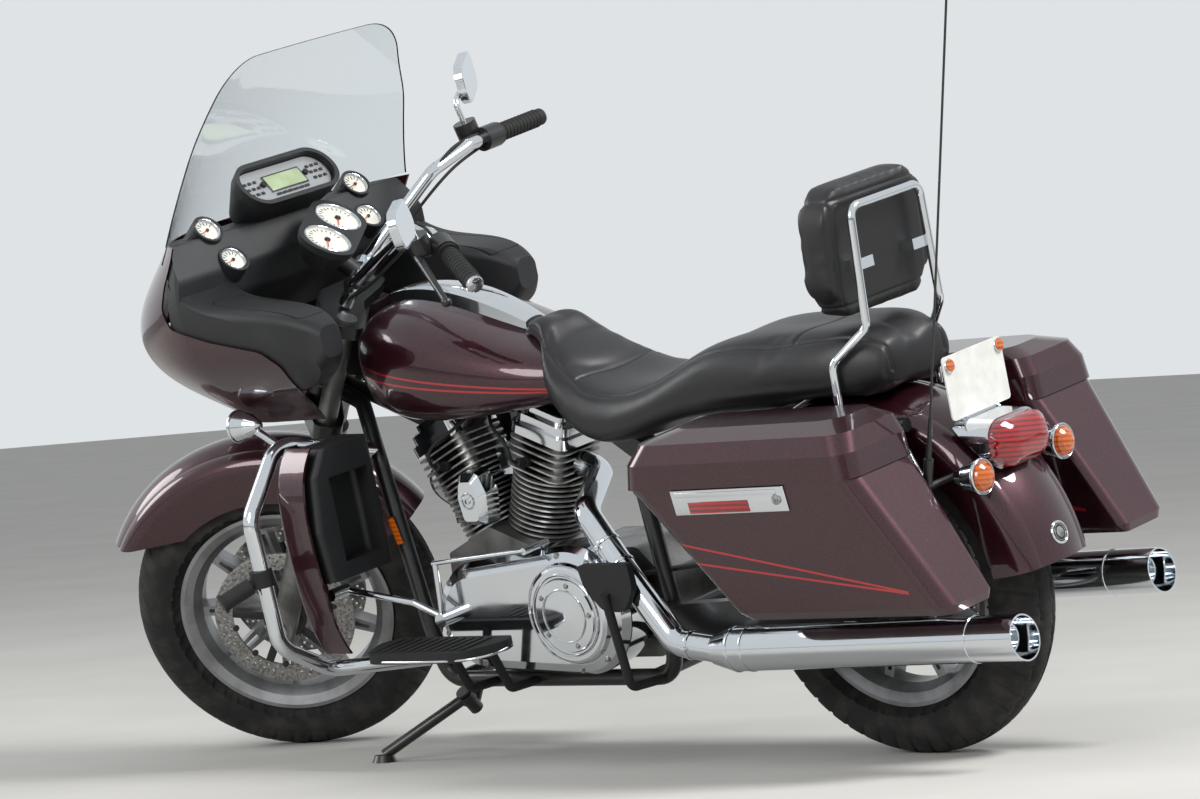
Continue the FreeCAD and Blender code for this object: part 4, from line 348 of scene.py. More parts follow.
tankStripes = [((473, 835), (985, 746)), ((470, 815), (985, 741))]
bagStripes = [((1393, 508), (1905, 398)), ((1421, 468), (1905, 396))]
finish = {
    "paint": pearlPaint("cherryPearl"),
    "tankPaint": pearlPaint("cherryPearlTank", tankStripes),
    "bagPaint": pearlPaint("cherryPearlBag", bagStripes),
    "chrome": chromePlate(),
    "wheel": castAlloy("castWheelAlloy", "#a2a3a5", "#7b7b7b", 0.36, 2.0),
    "engine": castAlloy("castCaseAlloy", "#8a8a88", "#5f5e5b", 0.42, 2.5),
    "fins": finnedAlloy(),
    "steel": groundSteel(),
    "black": satinBlack(),
    "plastic": grainedPlastic(),
    "tyre": treadRubber(),
    "rubber": mouldedRubber(),
    "leather": seatLeather(),
    "clear": clearPlastic("clearPolycarbonate", "#f2f6f7", 0.02, 1.45),
    "amber": ribbedLens("amberLens", "#f07c12", "#c9560a"),
    "red": ribbedLens("redLens", "#c0121c", "#7a070e"),
    "dial": plainEnamel("dialEnamel", "#eeebe0", "#e2dfd3", 0.45),
    "dialInk": plainEnamel("dialInk", "#1b1b1d", "#101012", 0.5),
    "needle": plainEnamel("needleOrange", "#d8521c", "#c24514", 0.4),
    "silver": silverLacquer(),
    "display": plainEnamel("liquidCrystal", "#b3c39c", "#a4b58d", 0.18),
    "plate": plainEnamel("plateEnamel", "#e9e9e4", "#dcdcd6", 0.42),
    "mirror": mirrorGlass(),
}
print("materials made")

# Finishes of the CAD nodes
nodeFinish = {
    "paint": ["front_fender", "rear_fender", "fairing_shell", "leg_shields", "bag_lid_left", "bag_lid_right"],
    "tankPaint": ["fuel_tank"],
    "bagPaint": ["saddlebag_left", "saddlebag_right"],
    "chrome": ["handlebar", "mirrors", "primary_cover", "engine_covers", "air_cleaner", "horn", "exhaust",
               "guards", "tank_console", "fuel_door", "tail_lamp", "signal_housings", "backrest_frame",
               "foot_controls"],
    "wheel": ["front_wheel", "rear_wheel"],
    "engine": ["engine_cases", "fork_legs"],
    "fins": ["cylinders"],
    "steel": ["front_discs", "rear_disc", "front_calipers"],
    "black": ["frame", "side_stand", "swingarm", "triple_clamps", "switchgear", "shock_absorbers",
              "rear_pulley", "antenna"],
    "plastic": ["fairing_dash", "glove_door_left", "glove_door_right", "shield_pockets", "gauge_pod"],
    "tyre": ["front_tyre", "rear_tyre"],
    "rubber": ["grips", "drive_belt", "footrests"],
    "leather": ["seat", "backrest_pad"],
    "clear": ["windshield", "headlamp"],
    "amber": ["lenses"],
    "silver": ["radio"],
    "plate": ["licence_plate"],
}
for finishName, names in nodeFinish.items():
    for name in names:
        nodes[name].data.materials.clear()
        nodes[name].data.materials.append(finish[finishName])


def makeLight(name, place, target, size, power):
    lamp = bpy.data.lights.new(name, "AREA")
    lamp.shape = "DISK"
    lamp.size = size
    lamp.energy = power
    holder = bpy.data.objects.new(name, lamp)
    bpy.context.scene.collection.objects.link(holder)
    holder.location = place
    holder.rotation_euler = (Vector(target) - Vector(place)).to_track_quat("-Z", "Y").to_euler()


def makeStudio():
    settings = {"floorSize": 60, "floorColour": "#c9c7c2", "skyColour": "#dfe3e6", "skyLight": 0.55}
    bpy.ops.object.select_all(action="DESELECT")
    bpy.ops.mesh.primitive_plane_add(size=settings["floorSize"], location=(0, 0, 0))
    floor = bpy.context.active_object
    floor.name = "studioFloor"
    material, shader, place = newMaterial("paleFloor", settings["floorColour"], 0.0, 0.8)
    tone = addNode(material, "ShaderNodeTexNoise",
                   {"Vector": place, "Scale": 1 / (500 * millimetre), "Detail": 4.0})
    addNode(material, "ShaderNodeValToRGB", {"Fac": tone}, ((0.35, "#c3c1bc"), (0.65, settings["floorColour"])),
            shader.inputs["Base Color"])
    floor.data.materials.append(material)
    world = bpy.data.worlds.new("studioWorld")
    bpy.context.scene.world = world
    world.use_nodes = True
    background = world.node_tree.nodes["Background"]
    # the backdrop is pale to the eye and in reflections, and lights the machine less
    paths = addNode(world, "ShaderNodeLightPath")
    seen = addNode(world, "ShaderNodeMath", {0: paths.outputs["Is Camera Ray"],
                                             1: paths.outputs["Is Transmission Ray"]}, operation="MAXIMUM")
    glossy = addNode(world, "ShaderNodeMath", {0: seen, 1: paths.outputs["Is Glossy Ray"]}, operation="MAXIMUM")
    addNode(world, "ShaderNodeMapRange", {"Value": glossy, "To Min": settings["skyLight"], "To Max": 1.0},
            into=background.inputs["Strength"])
    background.inputs["Color"].default_value = linear(settings["skyColour"])
    makeLight("keyLight", (4.5, 1.5, 5.5), (0, 0, 0.6), 2.6, 420)
    makeLight("sideLight", (1.0, -6.0, 3.0), (0, 0, 0.6), 3.0, 170)
    makeLight("frontLight", (-6.0, -2.5, 3.5), (0, 0, 0.6), 3.0, 150)


def makeCamera():
    # Fitted to the photograph: about 10 m away to the left rear, at headlamp height
    settings = {"place": (6.1157, -6.8327, 0.827), "turn": 0.72922, "down": 0.01553, "roll": -0.06738,
                "focal": 4741.9, "photoWidth": 1200}
    turn, down, roll = settings["turn"], settings["down"], settings["roll"]
    forward = Vector((-math.sin(turn) * math.cos(down), math.cos(turn) * math.cos(down), -math.sin(down)))
    right = Vector((math.cos(turn), math.sin(turn), 0))
    upward = right.cross(forward)
    rightRolled = right * math.cos(roll) + upward * math.sin(roll)
    upRolled = upward * math.cos(roll) - right * math.sin(roll)
    lens = bpy.data.cameras.new("photoCamera")
    lens.sensor_fit = "HORIZONTAL"
    lens.sensor_width = 36
    lens.lens = settings["focal"] * 36 / settings["photoWidth"]
    lens.clip_end = 200
    camera = bpy.data.objects.new("photoCamera", lens)
    bpy.context.scene.collection.objects.link(camera)
    turnMatrix = Matrix((rightRolled, upRolled, -forward)).transposed().to_4x4()
    camera.matrix_world = Matrix.Translation(Vector(settings["place"])) @ turnMatrix
    bpy.context.scene.camera = camera


makeStudio()
makeCamera()
bpy.context.scene.view_settings.view_transform = "Standard"
print("studio and camera placed")


# Tools for the pieces

def clearSelection():
    if bpy.context.object and bpy.context.object.mode != "OBJECT":
        bpy.ops.object.mode_set(mode="OBJECT")
    bpy.ops.object.select_all(action="DESELECT")


def choose(obj):
    clearSelection()
    obj.select_set(True)
    bpy.context.view_layer.objects.active = obj
    return obj


def named(name):
    obj = bpy.context.active_object
    obj.name = name
    obj.data.name = name
    return obj


def facing(centre, direction):
    return Matrix.Translation(centre) @ Vector(direction).to_track_quat("Z", "Y").to_matrix().to_4x4()


def bevelled(obj, width, segments=2):
    choose(obj)
    bevel = obj.modifiers.new("edge", "BEVEL")
    bevel.width, bevel.segments, bevel.limit_method = width, segments, "ANGLE"
    bevel.angle_limit = math.radians(35)
    bpy.ops.object.modifier_apply(modifier=bevel.name)
    return obj


def thickened(obj, thickness, offset=1.0):
    choose(obj)
    wall = obj.modifiers.new("wall", "SOLIDIFY")
    wall.thickness, wall.offset = thickness, offset
    bpy.ops.object.modifier_apply(modifier=wall.name)
    return obj


def welded(name, parts):
    clearSelection()
    for part in parts:
        part.select_set(True)
    bpy.context.view_layer.objects.active = parts[0]
    if len(parts) > 1:
        bpy.ops.object.join()
    return named(name)


def settle(obj, finishName, body, place=machine, smooth=35):
    # Moves a finished piece from the upright machine to where it stands, and fixes it to its body
    choose(obj)
    obj.data.transform(place @ obj.matrix_world)
    obj.matrix_world = Matrix.Identity(4)
    obj.data.materials.clear()
    obj.data.materials.append(finish[finishName])
    bpy.ops.object.shade_smooth_by_angle(angle=math.radians(smooth))
    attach(obj, body)
    return obj


def disc(centre, direction, radius, depth, bevel=0.0, corners=48):
    direction = Vector(direction).normalized()
    clearSelection()
    bpy.ops.mesh.primitive_cylinder_add(vertices=corners, radius=radius, depth=depth)
    obj = bpy.context.active_object
    obj.matrix_world = facing(Vector(centre) + direction * depth / 2, direction)
    bpy.ops.object.transform_apply(location=True, rotation=True, scale=True)
    return bevelled(obj, bevel) if bevel else obj


def ring(centre, direction, radius, thickness, flat=1.0, around=64, section=12):
    # flat squeezes the ring's section along its axis
    clearSelection()
    bpy.ops.mesh.primitive_torus_add(major_radius=radius, minor_radius=thickness, major_segments=around,
                                     minor_segments=section)
    obj = bpy.context.active_object
    obj.matrix_world = facing(centre, direction) @ Matrix.Diagonal((1, 1, flat, 1))
    bpy.ops.object.transform_apply(location=True, rotation=True, scale=True)
    return obj


def block(centre, size, turn=None, bevel=1.0, segments=2):
    clearSelection()
    bpy.ops.mesh.primitive_cube_add(size=1)
    obj = bpy.context.active_object
    obj.matrix_world = Matrix.Translation(centre) @ (turn or Matrix.Identity(4)) @ Matrix.Diagonal((*size, 1))
    bpy.ops.object.transform_apply(location=True, rotation=True, scale=True)
    return bevelled(obj, bevel, segments) if bevel else obj


def screwHead(centre, direction, radius, height):
    # A domed socket head with its washer
    direction = Vector(direction).normalized()
    washer = disc(centre, direction, radius * 1.35, height * 0.25, 0, 16)
    head = disc(Vector(centre) + direction * height * 0.2, direction, radius, height * 0.8, radius * 0.25, 12)
    socket = disc(Vector(centre) + direction * height * 0.96, direction, radius * 0.45, height * 0.1, 0, 6)
    return [washer, head, socket]


def hose(name, points, radius, section=4):
    # A smooth round line through given points
    clearSelection()
    curve = bpy.data.curves.new(name, "CURVE")
    curve.dimensions = "3D"
    curve.bevel_depth = radius
    curve.bevel_resolution = section
    curve.resolution_u = 8
    curve.use_fill_caps = True
    spline = curve.splines.new("NURBS")
    spline.points.add(len(points) - 1)
    for knot, place in zip(spline.points, points):
        knot.co = (*place, 1)
    spline.order_u = 3
    spline.use_endpoint_u = True
    obj = bpy.data.objects.new(name, curve)
    bpy.context.scene.collection.objects.link(obj)
    choose(obj)
    bpy.ops.object.convert(target="MESH")
    return named(name)


def skin(nodeName, keep, place=machine):
    # The faces of a CAD node that keep picks by their middle and normal, in the machine's millimetres
    clearSelection()
    mesh = nodes[nodeName].data.copy()
    obj = bpy.data.objects.new(nodeName + "Skin", mesh)
    bpy.context.scene.collection.objects.link(obj)
    mesh.transform(place.inverted())
    choose(obj)
    bpy.ops.object.mode_set(mode="EDIT")
    bpy.ops.mesh.select_all(action="SELECT")
    bpy.ops.mesh.remove_doubles(threshold=0.01)
    bpy.ops.mesh.select_mode(type="FACE")
    bpy.ops.mesh.select_all(action="DESELECT")
    bpy.ops.object.mode_set(mode="OBJECT")
    for face in mesh.polygons:
        face.select = not keep(face.center, face.normal)
    bpy.ops.object.mode_set(mode="EDIT")
    bpy.ops.mesh.delete(type="FACE")
    bpy.ops.object.mode_set(mode="OBJECT")
    return obj


def insetPatch(obj, margin):
    # Draws a flat patch in from its outline and drops the rim
    choose(obj)
    bpy.ops.object.mode_set(mode="EDIT")
    bpy.ops.mesh.select_all(action="SELECT")
    bpy.ops.mesh.dissolve_limited(angle_limit=math.radians(2))
    bpy.ops.mesh.select_all(action="SELECT")
    bpy.ops.mesh.inset(thickness=margin, use_boundary=True)
    bpy.ops.mesh.select_all(action="INVERT")
    bpy.ops.mesh.delete(type="FACE")
    bpy.ops.object.mode_set(mode="OBJECT")
    return obj


# Tyres

def treadedTyre(name, hub, radius, width, nodeName, body, place):
    # The CAD ring's section with its crown round and the tread's grooves cut in
    settings = {"around": 480, "across": 46, "pitches": 48, "grooveDepth": 5.5, "grooveWidth": 6.5,
                "rimSeat": 206.3, "rimLip": 224, "bead": 40.7, "ringPlace": 0.26, "ringWave": 0.10,
                "ringSpan": 65, "shoulder": (0.42, 0.97), "slant": 0.9}
    half = width / 2
    drop = half * 0.9
    crown = (half * half + drop * drop) / (2 * drop)
    reach = math.asin(half / crown)
    flank = [(half * 0.985, radius - drop * 1.12), (half * 0.95, (settings["rimLip"] + radius - drop) / 2 - 4),
             (half * 0.82, settings["rimLip"] + 12), (settings["bead"], settings["rimLip"]),
             (settings["bead"], settings["rimSeat"])]
    tread = settings["across"] - 2 * len(flank)
    section = [(-across, r) for across, r in reversed(flank)]
    section += [(crown * math.sin(reach * (2 * i / tread - 1)),
                 radius - crown + crown * math.cos(reach * (2 * i / tread - 1))) for i in range(tread + 1)]
    section += flank
    clearSelection()
    bpy.ops.mesh.primitive_grid_add(x_subdivisions=settings["around"], y_subdivisions=settings["across"],
                                    size=2)
    tyre = named(name)
    for vertex in tyre.data.vertices:
        turn = math.pi * (vertex.co.x + 1)
        k = round((vertex.co.y + 1) / 2 * settings["across"])
        across, r = section[k]
        pitch = turn / (2 * math.pi) * settings["pitches"]
        r -= settings["grooveDepth"] * grooveShare(settings, pitch, across / half, radius)
        vertex.co = hub + Vector((r * math.sin(turn), across, r * math.cos(turn)))
    choose(tyre)
    bpy.ops.object.mode_set(mode="EDIT")
    bpy.ops.mesh.select_all(action="SELECT")
    bpy.ops.mesh.remove_doubles(threshold=0.05)
    bpy.ops.mesh.select_all(action="DESELECT")
    bpy.ops.mesh.select_non_manifold()
    bpy.ops.mesh.bridge_edge_loops()
    bpy.ops.mesh.select_all(action="SELECT")
    bpy.ops.mesh.normals_make_consistent(inside=False)
    bpy.ops.object.mode_set(mode="OBJECT")
    settle(tyre, "tyre", body, place, 50)
    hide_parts(nodeName)


def grooveShare(settings, pitch, across, radius):
    # 1 at the bottom of a groove, 0 on the tread's blocks; across runs from -1 to 1 over the section
    step = 2 * math.pi * radius / settings["pitches"]
    grooveWidth = settings["grooveWidth"]
    inner, outer = settings["shoulder"]
    phase = pitch % 1.0
    zigzag = abs(2 * phase - 1) - 0.5
    ringGap = abs(abs(across) - (settings["ringPlace"] + settings["ringWave"] * zigzag)) * settings["ringSpan"]
    share = max(0.0, 1 - (ringGap / (grooveWidth * 0.6)) ** 2)
    if inner < abs(across) < outer:
        slant = (abs(across) - inner) * settings["slant"]
        offset = 0.5 if across > 0 else 0.0
        gap = abs((phase + offset + slant) % 1.0 - 0.5) * step
        share = max(share, max(0.0, 1 - (gap / (grooveWidth * 0.62)) ** 2))
    return share


treadedTyre("frontTyreTreaded", frontHub, frontRadius, 130, "front_tyre", "front_wheel", turnedFork)
treadedTyre("rearTyreTreaded", rearHub, rearRadius, 140, "rear_tyre", "rear_wheel", machine)
print("tyres made")


# Seat and backrest

def paddedCopy(nodeName, name, voxel, shrink, filler=None):
    # filler is a form that grows into the pad
    clearSelection()
    mesh = nodes[nodeName].data.copy()
    obj = bpy.data.objects.new(name, mesh)
    bpy.context.scene.collection.objects.link(obj)
    choose(obj)
    bpy.ops.object.mode_set(mode="EDIT")
    bpy.ops.mesh.select_all(action="SELECT")
    bpy.ops.mesh.remove_doubles(threshold=0.00001)
    bpy.ops.object.mode_set(mode="OBJECT")
    if filler:
        obj = welded(name, [obj, filler])
    remesh = obj.modifiers.new("voxels", "REMESH")
    remesh.mode, remesh.voxel_size = "VOXEL", voxel
    bpy.ops.object.modifier_apply(modifier=remesh.name)
    smooth = obj.modifiers.new("even", "SMOOTH")
    smooth.factor, smooth.iterations = 0.5, 6
    bpy.ops.object.modifier_apply(modifier=smooth.name)
    pull = obj.modifiers.new("shrink", "DISPLACE")
    pull.strength, pull.mid_level = -shrink, 0.0
    bpy.ops.object.modifier_apply(modifier=pull.name)
    return obj


def swollen(obj, settings, capOf):
    # Cloth under pressure rounds the pad out; no point moves further than capOf allows
    start = [vertex.co.copy() for vertex in obj.data.vertices]
    normals = [vertex.normal.copy() for vertex in obj.data.vertices]
    choose(obj)
    cloth = obj.modifiers.new("filling", "CLOTH")
    cloth.settings.quality = 5
    cloth.settings.mass = 0.3
    cloth.settings.tension_stiffness = 25
    cloth.settings.compression_stiffness = 25
    cloth.settings.bending_stiffness = 1.0
    cloth.settings.use_pressure = True
    cloth.settings.uniform_pressure_force = settings["pressure"]
    cloth.settings.effector_weights.gravity = 0.0
    cloth.collision_settings.use_collision = False
    cloth.point_cache.frame_end = settings["frames"]
    for step in range(1, settings["frames"] + 1):
        bpy.context.scene.frame_set(step)
    bpy.ops.object.modifier_apply(modifier=cloth.name)
    bpy.context.scene.frame_set(1)
    for vertex, home, normal in zip(obj.data.vertices, start, normals):
        cap = capOf(home, normal)
        moved = vertex.co - home
        if moved.length > cap:
            vertex.co = home + moved.normalized() * cap
    taut = obj.modifiers.new("taut", "SMOOTH")
    taut.factor, taut.iterations = 0.5, 10
    bpy.ops.object.modifier_apply(modifier=taut.name)
    return obj


def subdivided(obj):
    choose(obj)
    finer = obj.modifiers.new("finer", "SUBSURF")
    finer.levels = finer.render_levels = 1
    bpy.ops.object.modifier_apply(modifier=finer.name)
    return obj


def between(table, x):
    if x <= table[0][0]:
        return table[0][1]
    for (x0, a), (x1, b) in zip(table, table[1:]):
        if x <= x1:
            return a + (b - a) * (x - x0) / (x1 - x0)
    return table[-1][1]


def makeSeat():
    settings = {"voxel": 0.0056, "shrink": 0.001, "pressure": 4.0, "frames": 14, "cap": 0.004, "seamDepth": 3.4,
                "seamWidth": 4.2, "crossSeams": (1012, 1298, 1560), "panelShare": 0.8, "hollow": (966, 0, 807),
                "hollowTilt": 33, "hollowSize": (64, 92, 13)}
    halfWidths = [(846, 50), (930, 110), (1040, 166), (1150, 177), (1250, 176), (1340, 170), (1520, 162),
                  (1640, 146), (1700, 126), (1748, 100)]
    toMachine = machine.inverted()
    # the saddle's hollow behind the nose is padded over the tank
    clearSelection()
    bpy.ops.mesh.primitive_uv_sphere_add(segments=48, ring_count=24, radius=1)
    hollow = bpy.context.active_object
    tilt = Matrix.Rotation(math.radians(settings["hollowTilt"]), 4, "Y")
    hollow.data.transform(machine @ Matrix.Translation(settings["hollow"]) @ tilt
                          @ Matrix.Diagonal((*settings["hollowSize"], 1)))
    seat = paddedCopy("seat", "seatCushion", settings["voxel"], settings["shrink"], hollow)
    upward = (machine.to_3x3() @ Vector((0, 0, 1))).normalized()
    swollen(seat, settings, lambda home, normal: settings["cap"] if normal.dot(upward) > -0.2 else 0.001)
    subdivided(seat)
    normals = [vertex.normal.copy() for vertex in seat.data.vertices]
    for vertex, normal in zip(seat.data.vertices, normals):
        x, y, _ = toMachine @ vertex.co
        half = between(halfWidths, x)
        up = normal.dot(upward)
        if up < -0.1:
            continue
        edgeGap = abs(y) - settings["panelShare"] * half
        depth = math.exp(-(edgeGap / settings["seamWidth"]) ** 2)
        if edgeGap < 0:
            for seam in settings["crossSeams"]:
                bow = 34 * (1 - (y / half) ** 2) if seam == 1298 else -20 * (1 - (y / half) ** 2)
                depth = max(depth, math.exp(-((x - seam + bow) / settings["seamWidth"]) ** 2))
        vertex.co -= normal * settings["seamDepth"] * depth * millimetre
    finishPad(seat, "seat")


def makeBackrest():
    settings = {"voxel": 0.0052, "shrink": 0.003, "pressure": 4.0, "frames": 12, "cap": 0.004, "seamDepth": 2.6,
                "seamWidth": 3.6, "margin": 26, "middleZ": 965, "halfWidth": 158, "halfHeight": 123}
    toMachine = machine.inverted()
    pad = paddedCopy("backrest_pad", "backrestCushion", settings["voxel"], settings["shrink"])
    swollen(pad, settings, lambda home, normal: settings["cap"])
    subdivided(pad)
    normals = [vertex.normal.copy() for vertex in pad.data.vertices]
    for vertex, normal in zip(pad.data.vertices, normals):
        _, y, z = toMachine @ vertex.co
        edge = max(abs(y) / (settings["halfWidth"] - settings["margin"]),
                   abs(z - settings["middleZ"]) / (settings["halfHeight"] - settings["margin"]))
        gap = (edge - 1) * 110
        groove = settings["seamDepth"] * math.exp(-(gap / settings["seamWidth"]) ** 2)
        vertex.co -= normal * groove * millimetre
    finishPad(pad, "backrest_pad")


def finishPad(obj, nodeName):
    choose(obj)
    obj.data.materials.clear()
    obj.data.materials.append(finish["leather"])
    bpy.ops.object.shade_smooth()
    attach(obj, "chassis")
    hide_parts(nodeName)


makeSeat()
makeBackrest()
print("seat and backrest made")


# Instruments

def dial(name, centre, direction, radius, marks, sweep, place, body):
    # A printed face with its marks, a pointer and a bright rim
    settings = {"start": -120, "markWidth": 1.5, "markLength": 5.5, "rim": 2.6, "lift": 3.2}
    direction = Vector(direction).normalized()
    base = facing(centre, direction)
    plate = disc(centre, direction, radius - 1.5, 1.2, 0.3)
    settle(welded(name + "Face", [plate]), "dial", body, place)
    marksMade = []
    for i in range(marks + 1):
        angle = math.radians(settings["start"] + sweep * i / marks)
        long = settings["markLength"] * (1.5 if i % 2 == 0 else 1.0)
        turn = base @ Matrix.Rotation(-angle, 4, "Z")
        spot = turn @ Vector((0, radius * 0.84 - long / 2, 1.5))
        marksMade.append(block(spot, (settings["markWidth"], long, 0.8),
                               turn.to_quaternion().to_matrix().to_4x4(), 0))
    marksMade.append(disc(Vector(centre) + direction * 1.2, direction, radius * 0.13, 4.5, 0.8, 24))
    settle(welded(name + "Marks", marksMade), "dialInk", body, place)
    turn = base @ Matrix.Rotation(math.radians(105), 4, "Z")
    spot = turn @ Vector((0, radius * 0.28, 4.0))
    pointer = block(spot, (2.2, radius * 0.85, 0.9), turn.to_quaternion().to_matrix().to_4x4(), 0.3)
    settle(welded(name + "Pointer", [pointer]), "needle", body, place)
    rim = ring(Vector(centre) + direction * settings["lift"], direction, radius + 0.5, settings["rim"], 1.3)
    settle(welded(name + "Rim", [rim]), "chrome", body, place)


def makeDials():
    podTilt, dashTilt = math.radians(52), math.radians(40)
    podFacing = Vector((math.cos(podTilt), 0, math.sin(podTilt)))
    for side in sides:
        centre = Vector((352, 0, 1086)) + podFacing * 2.2 + Vector((0, side * 57, 0))
        dial("podDial" + ("Left" if side < 0 else "Right"), centre, podFacing, 47, 16, 240, turnedFork, "fork")
    dashFacing = Vector((math.cos(dashTilt), 0, math.sin(dashTilt)))
    spots = {"Upper": (214, 216, 1136), "Lower": (250, 198, 1070)}
    for word, (x, y, z) in spots.items():
        for side in sides:
            centre = Vector((x, side * y, z)) + dashFacing * 6.1
            dial("dashDial" + word + ("Left" if side < 0 else "Right"), centre, dashFacing, 26, 8, 180,
                 machine, "chassis")


def makeRadio():
    settings = {"face": (238, 0, 1190), "tilt": 40, "keys": (8.5, 6.5, 3.0),
                "columns": (-104, -90, -76, 76, 90, 104), "rows": (-15, 0, 15), "display": (100, 36)}
    tilt = math.radians(settings["tilt"])
    direction = Vector((math.cos(tilt), 0, math.sin(tilt)))
    upward = Vector((-direction.z, 0, direction.x))
    turn = Matrix((upward.cross(direction), upward, direction)).transposed().to_4x4()
    centre = Vector(settings["face"])

    def on(across, up, depth):
        return centre + Vector((0, across, 0)) + upward * up + direction * depth

    width, height = settings["display"]
    frameBar = block(on(0, 1, 9.3), (width + 6, height + 6, 1.2), turn, 0.5)
    settle(welded("radioDisplayFrame", [frameBar]), "dialInk", "chassis")
    settle(welded("radioDisplay", [block(on(0, 1, 9.9), (width, height, 0.8), turn, 0.3)]),
           "display", "chassis")
    keys = [block(on(a, b, 8.4), settings["keys"], turn, 1.2)
            for a in settings["columns"] for b in settings["rows"]]
    settle(welded("radioKeys", keys), "plastic", "chassis")
    strip = [block(on(a, -27.5, 9.4), (13, 5, 2), turn, 0.8) for a in (-40, -24, -8, 8, 24, 40)]
    settle(welded("radioPresetKeys", strip), "dialInk", "chassis")
    knobs = [disc(on(s * 61, 3, 7.3), direction, 6.5, 6, 1.0, 32) for s in sides]
    settle(welded("radioKnobs", knobs), "rubber", "chassis")


def makeHandControls():
    # Glass in the mirrors, ribs on the grips and bright end caps
    for side in sides:
        word = "Left" if side < 0 else "Right"
        glass = skin("mirrors", lambda c, n: n.x > 0.95 and c.y * side > 0 and c.z > 1140 and c.x > 612,
                     turnedFork)
        glass = thickened(insetPatch(glass, 4.5), 0.8)
        settle(welded("mirrorGlass" + word, [glass]), "mirror", "fork", turnedFork)
        elbow, end = Vector((612, side * 238, 1112)), Vector((717, side * 436, 1067))
        run = (end - elbow).normalized()
        ribs = [ring(end - run * (12 + 11 * i), run, 17.6, 1.7, 1.0, 28, 8) for i in range(11)]
        settle(welded("gripRibs" + word, ribs), "rubber", "fork", turnedFork)
        cap = [disc(end + run * 6, run, 16.5, 4.5, 1.6, 32), ring(end + run * 6, run, 16, 1.6, 1, 32, 8)]
        settle(welded("gripEnd" + word, cap), "chrome", "fork", turnedFork)
        # two thin lines that lie against the bar from the switches to the clamp
        for gap, word2 in ((19, "Upper"), (-19, "Lower")):
            path = [end - run * 178 + Vector((-6, 0, gap * 0.7)), elbow + Vector((-14, -side * 18, gap)),
                    Vector((560, side * 150, 1100 + gap * 0.8)), Vector((480, side * 112, 1042 + gap * 0.6)),
                    Vector((404, side * 78, 985 + gap * 0.5)), Vector((344, side * 44, 958 + gap * 0.3))]
            settle(hose("barLine" + word2 + word, path, 3.2), "rubber", "fork", turnedFork)


makeDials()
makeRadio()
makeHandControls()
print("instruments and hand controls made")


# Wheels, brakes and fork

def drilledDisc(hub, side, gap):
    # Floating rotor: a ground ring with rows of holes, held to its carrier by bobbins
    settings = {"outer": 146, "inner": 109, "thick": 5, "rows": ((118, 2.6), (128, 2.8), (138, 2.6)),
                "holes": 40}
    direction = Vector((0, side, 0))
    centre = hub + direction * gap
    rotor = disc(centre, direction, settings["outer"], settings["thick"], 0.5, 160)
    cutters = [disc(centre - direction, direction, settings["inner"], settings["thick"] + 2, 0, 160)]
    for row, (radius, size) in enumerate(settings["rows"]):
        for i in range(settings["holes"]):
            angle = 2 * math.pi * (i + row * 0.34) / settings["holes"]
            spot = centre - direction + Vector((radius * math.sin(angle), 0, radius * math.cos(angle)))
            cutters.append(disc(spot, direction, size, settings["thick"] + 2, 0, 8))
    cutter = welded("cutter", cutters)
    choose(rotor)
    holes = rotor.modifiers.new("holes", "BOOLEAN")
    holes.operation, holes.object, holes.solver = "DIFFERENCE", cutter, "MANIFOLD"
    bpy.ops.object.modifier_apply(modifier=holes.name)
    bpy.data.objects.remove(cutter)
    return rotor


def makeDiscs():
    settings = {"bobbins": 10, "bobbinCircle": 108, "bobbinSize": 6.5, "hubRadius": 46, "arms": 5,
                "armLength": 66, "armMiddle": 76, "boltCircle": 32}
    sets = {"frontRotors": [(frontHub, s, 66, turnedFork) for s in sides],
            "rearRotor": [(rearHub, 1, 70, machine)]}
    for name, rows in sets.items():
        rotors, carriers = [], []
        body = "front_wheel" if name == "frontRotors" else "rear_wheel"
        node = "front_discs" if name == "frontRotors" else "rear_disc"
        for hub, side, gap, place in rows:
            rotors.append(drilledDisc(hub, side, gap))
            direction = Vector((0, side, 0))
            centre = hub + direction * gap
            carriers.append(disc(centre, direction, settings["hubRadius"], 5, 0.8, 64))
            for i in range(settings["arms"]):
                angle = 2 * math.pi * i / settings["arms"]
                out = Vector((math.sin(angle), 0, math.cos(angle)))
                middle = centre + direction * 2.5 + out * settings["armMiddle"]
                turn = Matrix.Rotation(angle, 4, "Y")
                carriers.append(block(middle, (17, 4.6, settings["armLength"]), turn, 1.4))
            for i in range(settings["bobbins"]):
                angle = 2 * math.pi * (i + 0.5) / settings["bobbins"]
                out = Vector((math.sin(angle), 0, math.cos(angle)))
                carriers.append(disc(centre - direction * 0.4 + out * settings["bobbinCircle"], direction,
                                     settings["bobbinSize"], 5.8, 0.8, 20))
            for i in range(settings["arms"]):
                angle = 2 * math.pi * (i + 0.5) / settings["arms"]
                out = Vector((math.sin(angle), 0, math.cos(angle)))
                carriers += screwHead(centre + direction * 5 + out * settings["boltCircle"], direction, 5, 4)
        rotor = settle(welded(name, rotors), "steel", body, place)
        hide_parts(node)
        settle(welded(name + "Carrier", carriers), "black", body, place)


def makeAxleEnds():
    spots = {"frontAxleCaps": (frontHub, 135, 17, turnedFork, "fork"),
             "rearAxleNuts": (rearHub, 171, 16, machine, "chassis")}
    for name, (hub, reach, radius, place, body) in spots.items():
        parts = []
        for side in sides:
            direction = Vector((0, side, 0))
            base = hub + direction * (reach + 0.2)
            rimRing = ring(base, direction, radius - 3, 3, 1, 40, 10)
            nut = disc(base - direction * 3, direction, radius - 2, 3.2, 0.8, 6)
            parts += [rimRing, nut]
        settle(welded(name, parts), "chrome", body, place)


